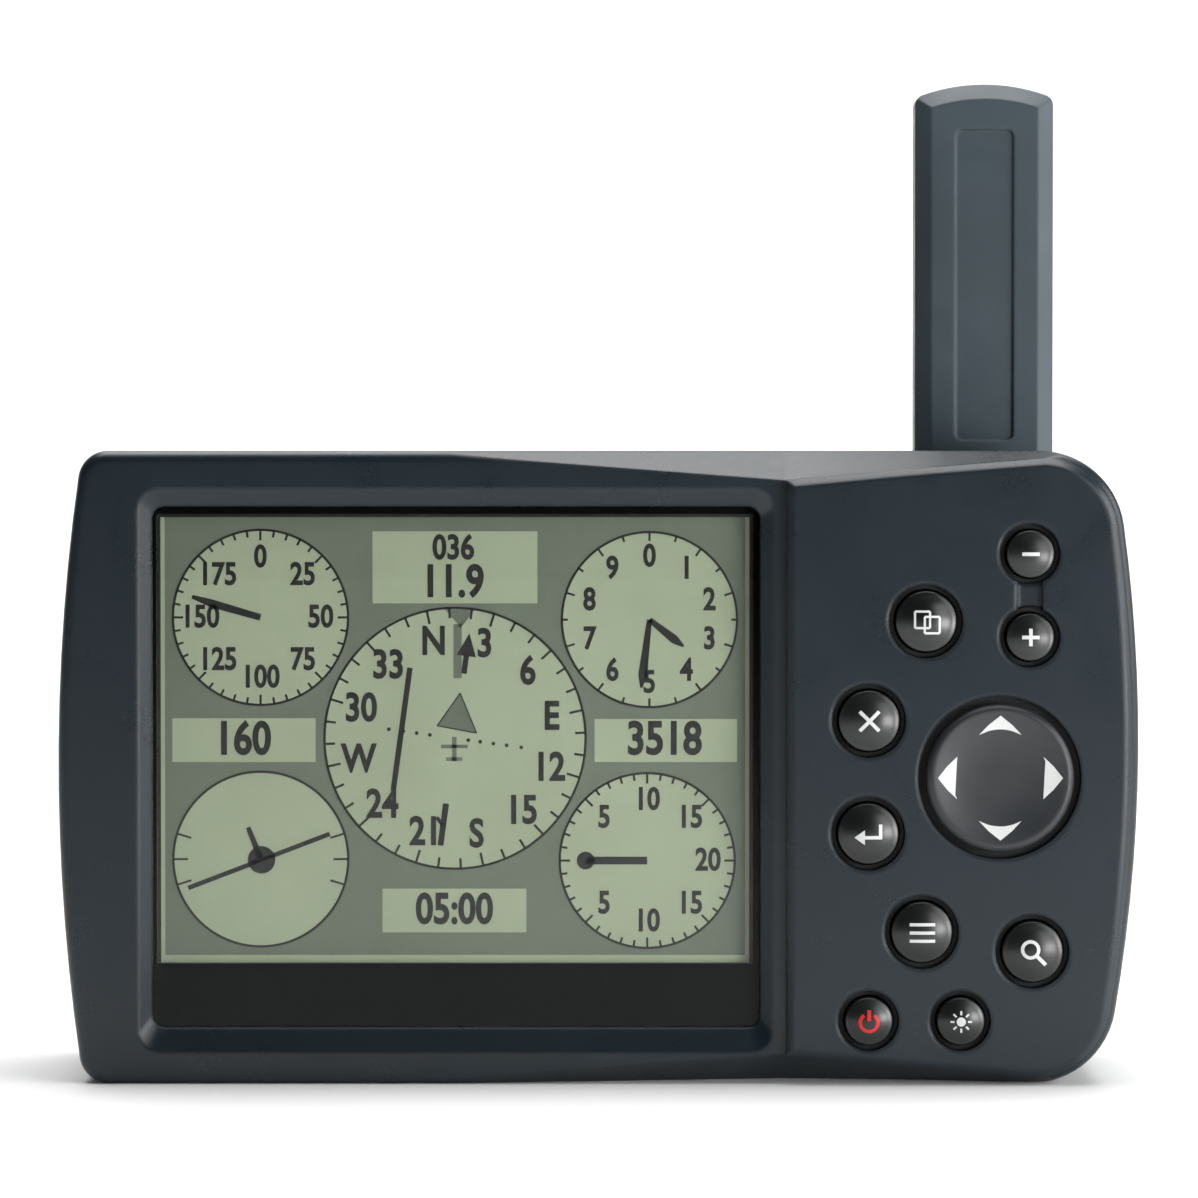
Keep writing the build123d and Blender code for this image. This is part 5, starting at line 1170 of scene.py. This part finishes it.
@dataclass
class Keypad(Assembly):
    """Nine domed push keys with printed signs, and the rocker with its arrows."""

    crown_ratio: float = 1.7
    rim: float = 0.4
    flange: float = 0.95
    lift: float = 0.02
    hole_gap: float = 0.2
    well_gap: float = 0.85
    key_well: float = 1.5
    rocker_gap: float = 1.0
    rocker_bevel: float = 0.8
    rocker_stem: float = 2.6
    rocker_rim: tuple[Point, ...] = (
        (0.6, 0.06), (0.2, 0.42), (0.05, 0.7), (0.0, 0.95), (0.0, 1.2), (0.35, 1.6), (0.8, 1.8))
    dish: float = 0.95
    arrow_tip: float = 8.35
    arrow_base: float = 5.75
    arrow_half: float = 2.85
    arrow_hollow: float = 0.75
    arrow_steps: int = 10
    shoulder_share: float = 0.55
    shoulder_drop: float = 1.25
    face_steps: int = 24
    rocker_hole: float = 6.5
    rocker_well: float = 1.7
    liner: float = 0.03
    full_radius: float = 4.1
    key_reach: float = 2.85
    skirt: float = 0.6
    flange_thick: float = 0.8
    plunger: float = 1.6
    crown_steps: int = 12
    well_lip: float = 0.3
    well_off: float = 0.005
    wall_off: float = 0.01
    keys: tuple[Key, ...] = (
        Key("key_zoom_out", Sign.MINUS), Key("key_zoom_in", Sign.PLUS), Key("key_page", Sign.PAGE),
        Key("key_quit", Sign.CROSS), Key("key_enter", Sign.RETURN), Key("key_menu", Sign.BARS),
        Key("key_find", Sign.LENS), Key("key_power", Sign.POWER, Finishes.LEGEND_RED),
        Key("key_display", Sign.LAMP))

    def build(self) -> None:
        """Make every key and the rocker, and dress what is under them."""
        for key in self.keys:
            self.build_key(key)
        self.build_rocker()
        self.dress_nodes({
            "rocker_ring": Finishes.STEEL, "rocker_carrier": Finishes.REAR, "rocker_actuator": Finishes.WHITE,
            "key_mat": Finishes.SILICONE, "dome_switches": Finishes.STEEL, "keypad_board": Finishes.BOARD,
            "keypad_screws": Finishes.SCREW, "interboard_connector": Finishes.WHITE,
        })

    def build_key(self, key: Key) -> None:
        """Make a key's cap with its sign.

        Args:
            key: the key.
        """
        low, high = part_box(key.node)
        centre = ((low.x + high.x) / 2, (low.z + high.z) / 2)
        radius = (high.x - low.x) / 2 / MM - self.flange
        top = low.y / MM
        sphere = radius * self.crown_ratio

        def crown(distance: float) -> float:
            """Depth of the crown in millimetres."""
            return top + sphere - math.sqrt(max(sphere ** 2 - distance ** 2, 0.0))

        edge = radius - self.rim
        rim_y = crown(edge) + self.rim
        flange_y = high.y / MM - self.key_reach
        count = self.crown_steps
        profile = [(0.0, top)] + [(edge * step / count, crown(edge * step / count))
                                  for step in range(1, count + 1)]
        for step in range(1, 5):
            a = math.pi / 2 * step / 4
            profile.append((edge + self.rim * math.sin(a), rim_y - self.rim * math.cos(a)))
        profile += [(radius, rim_y + self.skirt), (radius, flange_y), (radius + self.flange, flange_y),
                    (radius + self.flange, flange_y + self.flange_thick),
                    (self.plunger, flange_y + self.flange_thick), (self.plunger, high.y / MM),
                    (0.0, high.y / MM)]
        cap = lathe(key.node + "_cap", [(r * MM, y * MM) for r, y in profile], centre)
        self.keep(cap, key.node, Finishes.KEY, "key_plastic", key.node)
        # Painted shade in the key's well.
        self.line_well(key.node, centre, radius + self.hole_gap, radius + self.well_gap, self.key_well)
        ink = Ink((centre[0] / MM, centre[1] / MM))
        self.draw_sign(key.sign, ink, radius / self.full_radius)
        sign = ink.build(key.node + "_sign", lambda x, z: (crown(math.hypot(x, z)) - self.lift) * MM, 3)
        self.keep(sign, key.node, key.finish, "key_plastic")

    def line_well(self, name: str, centre: Point, inner: float, outer: float, depth: float) -> None:
        """Black liner on the floor and wall of a well: painted shade, standing for the shadow down in the
        well.

        Args:
            name: what the well is for.
            centre: X and Z of the well in metres.
            inner: radius of the hole in millimetres.
            outer: radius of the well in millimetres.
            depth: depth of the well behind the plateau in millimetres.
        """
        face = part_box("front_housing")[0].y / MM
        floor, wall, lip = face + depth - self.well_off, outer - self.wall_off, face + self.well_lip
        profile = [(inner, floor), (wall, floor), (wall, lip), (wall - self.liner, lip),
                   (wall - self.liner, floor - self.liner), (inner, floor - self.liner)]
        ring = tube(name + "_well", [(r * MM, y * MM) for r, y in profile], centre)
        self.keep(ring, "housing", Finishes.WELL, "bezel_plastic")

    @staticmethod
    def draw_sign(sign: Sign, ink: Ink, size: float) -> None:
        """Draw the sign of a cap.

        Args:
            sign: which sign.
            ink: the layer it is drawn on.
            size: the cap's share of a full-size one, for the signs that follow it.
        """
        if sign is Sign.LENS:
            ink.ring((-0.35, 0.35), 0.85, 1.3, steps=28)
        elif sign is Sign.POWER:
            ink.ring((0.0, -0.1), 0.95, 1.42, start=35, sweep=290, steps=24)
        elif sign is Sign.LAMP:
            ink.disc((0.0, 0.0), 0.62, 20)
        scale = size if sign in (Sign.MINUS, Sign.PLUS) else 1.0
        for start, end, width in SIGN_STROKES[sign]:
            ink.stroke((start[0] * scale, start[1] * scale), (end[0] * scale, end[1] * scale), width * scale)
        if sign is Sign.RETURN:
            ink.polygon([(-1.9, -0.45), (-0.5, 0.55), (-0.5, -1.45)])

    def arrow(self) -> list[Point]:
        """Outline of the upward arrow, with a hollow base.

        Returns:
            Its corners in order, in millimetres from the middle of the pad.
        """
        half, base, tip, count = self.arrow_half, self.arrow_base, self.arrow_tip, self.arrow_steps
        shoulder = (half * self.shoulder_share, tip - self.shoulder_drop)
        steps = [-half + 2 * half * step / count for step in range(1, count + 1)]
        hollow = [(x, base + self.arrow_hollow * (1 - (x / half) ** 2)) for x in steps]
        return [(0.0, tip), (-shoulder[0], shoulder[1]), (-half, base)] + hollow + [shoulder]

    def build_rocker(self) -> None:
        """Dished pad with a rolled rim, and four white arrows."""
        low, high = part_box("rocker_disc")
        centre = ((low.x + high.x) / 2, (low.z + high.z) / 2)
        radius, top = (high.x - low.x) / 2 / MM, low.y / MM
        flat, count = radius - self.rocker_bevel, self.face_steps

        def face(distance: float) -> float:
            """Depth of the dished face in millimetres."""
            part = min(distance / flat, 1.0)
            return top + self.dish * (1 - part ** 3) ** 1.3

        profile = [(0.0, face(0.0))] + [(flat * step / count, face(flat * step / count))
                                        for step in range(1, count + 1)]
        profile += [(radius - inset, top + depth) for inset, depth in self.rocker_rim]
        under = profile[-1][1]
        profile += [(self.rocker_stem, under), (self.rocker_stem, high.y / MM), (0.0, high.y / MM)]
        pad = lathe("rocker_pad_face", [(r * MM, y * MM) for r, y in profile], centre, 128)
        self.keep(pad, "rocker_pad", Finishes.ROCKER, "rocker_plastic", "rocker_disc")
        # Painted shade in the rocker's well.
        self.line_well("rocker", centre, self.rocker_hole, radius + self.rocker_gap, self.rocker_well)
        ink = Ink((centre[0] / MM, centre[1] / MM))
        for turn in range(4):
            a = math.pi / 2 * turn
            cos, sin = math.cos(a), math.sin(a)
            ink.polygon([(x * cos + z * sin, -x * sin + z * cos) for x, z in self.arrow()])
        arrows = ink.build("rocker_arrows", lambda x, z: (face(math.hypot(x, z)) - self.lift) * MM, 3)
        self.keep(arrows, "rocker_pad", Finishes.LEGEND, "rocker_plastic")


@dataclass
class Antenna(Assembly):
    """Jack, turning collar, elbow and paddle."""

    def build(self) -> None:
        """Dress the antenna's nodes."""
        self.dress_nodes({
            "antenna_front_shell": Finishes.ANTENNA, "antenna_rear_shell": Finishes.ANTENNA,
            "antenna_knuckle": Finishes.REAR, "antenna_elbow": Finishes.REAR,
            "antenna_hinge_pin": Finishes.STEEL, "bayonet_collar": Finishes.NICKEL,
            "antenna_element": Finishes.CERAMIC, "antenna_jack": Finishes.NICKEL,
            "jack_nut": Finishes.NICKEL, "jack_insulator": Finishes.WHITE,
            "antenna_coax": Finishes.RUBBER, "rf_connector": Finishes.NICKEL,
        })


@dataclass
class BatteryBay(Assembly):
    """Cells, contacts, door, latch and card."""

    def build(self) -> None:
        """Dress the bay's nodes."""
        self.dress_nodes({
            "battery_door": Finishes.REAR, "door_seal": Finishes.RUBBER, "door_latch": Finishes.CHIP,
            "latch_ring": Finishes.STEEL, "battery_cells": Finishes.CELL, "battery_springs": Finishes.STEEL,
            "battery_plates": Finishes.STEEL, "data_card": Finishes.CARD, "card_slot": Finishes.CHIP,
            "data_socket_shell": Finishes.CHIP, "data_socket_pins": Finishes.NICKEL,
            "data_socket_nut": Finishes.NICKEL,
        })


@dataclass
class Electronics(Assembly):
    """Boards and the display's hidden layers."""

    def build(self) -> None:
        """Dress the inner nodes."""
        self.dress_nodes({
            "main_board": Finishes.BOARD, "board_screws": Finishes.SCREW, "board_chips": Finishes.CHIP,
            "shield_can": Finishes.STEEL, "backup_cell": Finishes.STEEL, "beeper": Finishes.CHIP,
            "lcd_frame": Finishes.STEEL, "lcd_flex": Finishes.FLEX, "backlight_guide": Finishes.GUIDE,
            "backlight_reflector": Finishes.WHITE,
        })


# ------------------------------------------------------------------ studio

@dataclass(frozen=True)
class Light:
    """One square soft light: place, what it looks at, side in metres and power in watts."""

    name: str
    place: tuple[float, float, float]
    aim: tuple[float, float, float]
    size: float
    power: float


@dataclass
class Studio:
    """White sweep, soft lights and the camera."""

    distance: float = 0.753
    height: float = 0.0652
    span: float = 0.160
    elevation: float = 1.5
    aim_x: float = 0.0001
    sensor: float = 36.0
    world_strength: float = 0.07
    sweep_wide: float = 3.0
    sweep_front: float = 3.0
    sweep_back: float = 1.4
    sweep_bend: float = 0.6
    sweep_top: float = 3.0
    sweep_steps: int = 12
    sweep_drop: float = 0.00002
    lights: tuple[Light, ...] = (
        Light("key_light", (0.38, -0.42, 0.26), (0.05, 0.0, 0.03), 0.3, 0.75),
        Light("low_light", (0.24, -0.22, 0.02), (0.06, -0.03, 0.02), 0.12, 0.6),
        Light("side_light", (0.8, -0.12, 0.3), (0.0, 0.0, 0.06), 0.5, 3.5),
        Light("top_light", (0.05, 0.16, 1.3), (0.0, 0.0, 0.0), 1.3, 15.0),
        Light("back_light", (0.0, 0.5, 1.7), (0.0, 1.4, 0.3), 1.2, 22.0),
    )

    def build(self) -> None:
        """Make the whole studio."""
        self.make_sweep()
        self.make_world()
        for light in self.lights:
            self.make_light(light)
        self.make_camera()

    def make_sweep(self) -> None:
        """Floor that curves up into a backdrop."""
        shape = bmesh.new()
        bend, back = self.sweep_bend, self.sweep_back
        section = [(-self.sweep_front, 0.0), (back - bend, 0.0)]
        for step in range(1, self.sweep_steps + 1):
            a = math.pi / 2 * step / self.sweep_steps
            section.append((back - bend + bend * math.sin(a), bend - bend * math.cos(a)))
        section.append((back, self.sweep_top))
        rows = [[shape.verts.new((x, y, z - self.sweep_drop)) for x in (-self.sweep_wide, self.sweep_wide)]
                for y, z in section]
        for first, second in zip(rows, rows[1:]):
            shape.faces.new((first[0], first[1], second[1], second[0]))
        sweep = from_bmesh("studio_sweep", shape)
        material = bpy.data.materials.new("sweep_white")
        material.use_nodes = True
        graph = Graph(material.node_tree)
        place = graph.place()
        cloud = graph.add("TexNoise", Vector=place, Scale=3.0, Detail=2.0).outputs[0]
        base = graph.blend(cloud, (0.9, 0.9, 0.9, 1.0), (0.93, 0.93, 0.93, 1.0))
        shader = graph.add("BsdfPrincipled", Base_Color=base, Roughness=0.8)
        Finish.close(graph, shader.outputs[0])
        sweep.data.materials.append(material)

    def make_world(self) -> None:
        """Even white surroundings."""
        world = bpy.data.worlds.new("studio_world")
        world.use_nodes = True
        background = world.node_tree.nodes["Background"]
        background.inputs["Color"].default_value = (1.0, 1.0, 1.0, 1.0)
        background.inputs["Strength"].default_value = self.world_strength
        bpy.context.scene.world = world
        bpy.context.scene.view_settings.view_transform = "Standard"

    @staticmethod
    def make_light(light: Light) -> None:
        """Put a square soft light in the scene.

        Args:
            light: the light.
        """
        data = bpy.data.lights.new(light.name, "AREA")
        data.size, data.energy = light.size, light.power
        holder = bpy.data.objects.new(light.name, data)
        bpy.context.scene.collection.objects.link(holder)
        holder.location = light.place
        toward = Vector(light.aim) - Vector(light.place)
        holder.rotation_euler = toward.to_track_quat("-Z", "Y").to_euler()

    def make_camera(self) -> None:
        """Camera in front of the display, a little above level."""
        data = bpy.data.cameras.new("camera")
        data.sensor_width = self.sensor
        data.lens = data.sensor_width * self.distance / self.span
        camera = bpy.data.objects.new("camera", data)
        bpy.context.scene.collection.objects.link(camera)
        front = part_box("front_housing")[0].y
        a = math.radians(self.elevation)
        target = Vector((self.aim_x, front, self.height))
        camera.location = target + Vector((0.0, -math.cos(a), math.sin(a))) * self.distance
        camera.rotation_euler = (target - camera.location).to_track_quat("-Z", "Y").to_euler()
        bpy.context.scene.camera = camera


def main() -> None:
    """Build every class in order."""
    logging.basicConfig(level=logging.INFO, format="%(name)s: %(message)s")
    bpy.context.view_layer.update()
    effects = Effects()
    for kind in (Housings, Display, Keypad, Antenna, BatteryBay, Electronics):
        kind(effects).build()
        LOG.info("finished %s", kind.__name__)
    Studio().build()


if __name__ == "__main__":
    main()
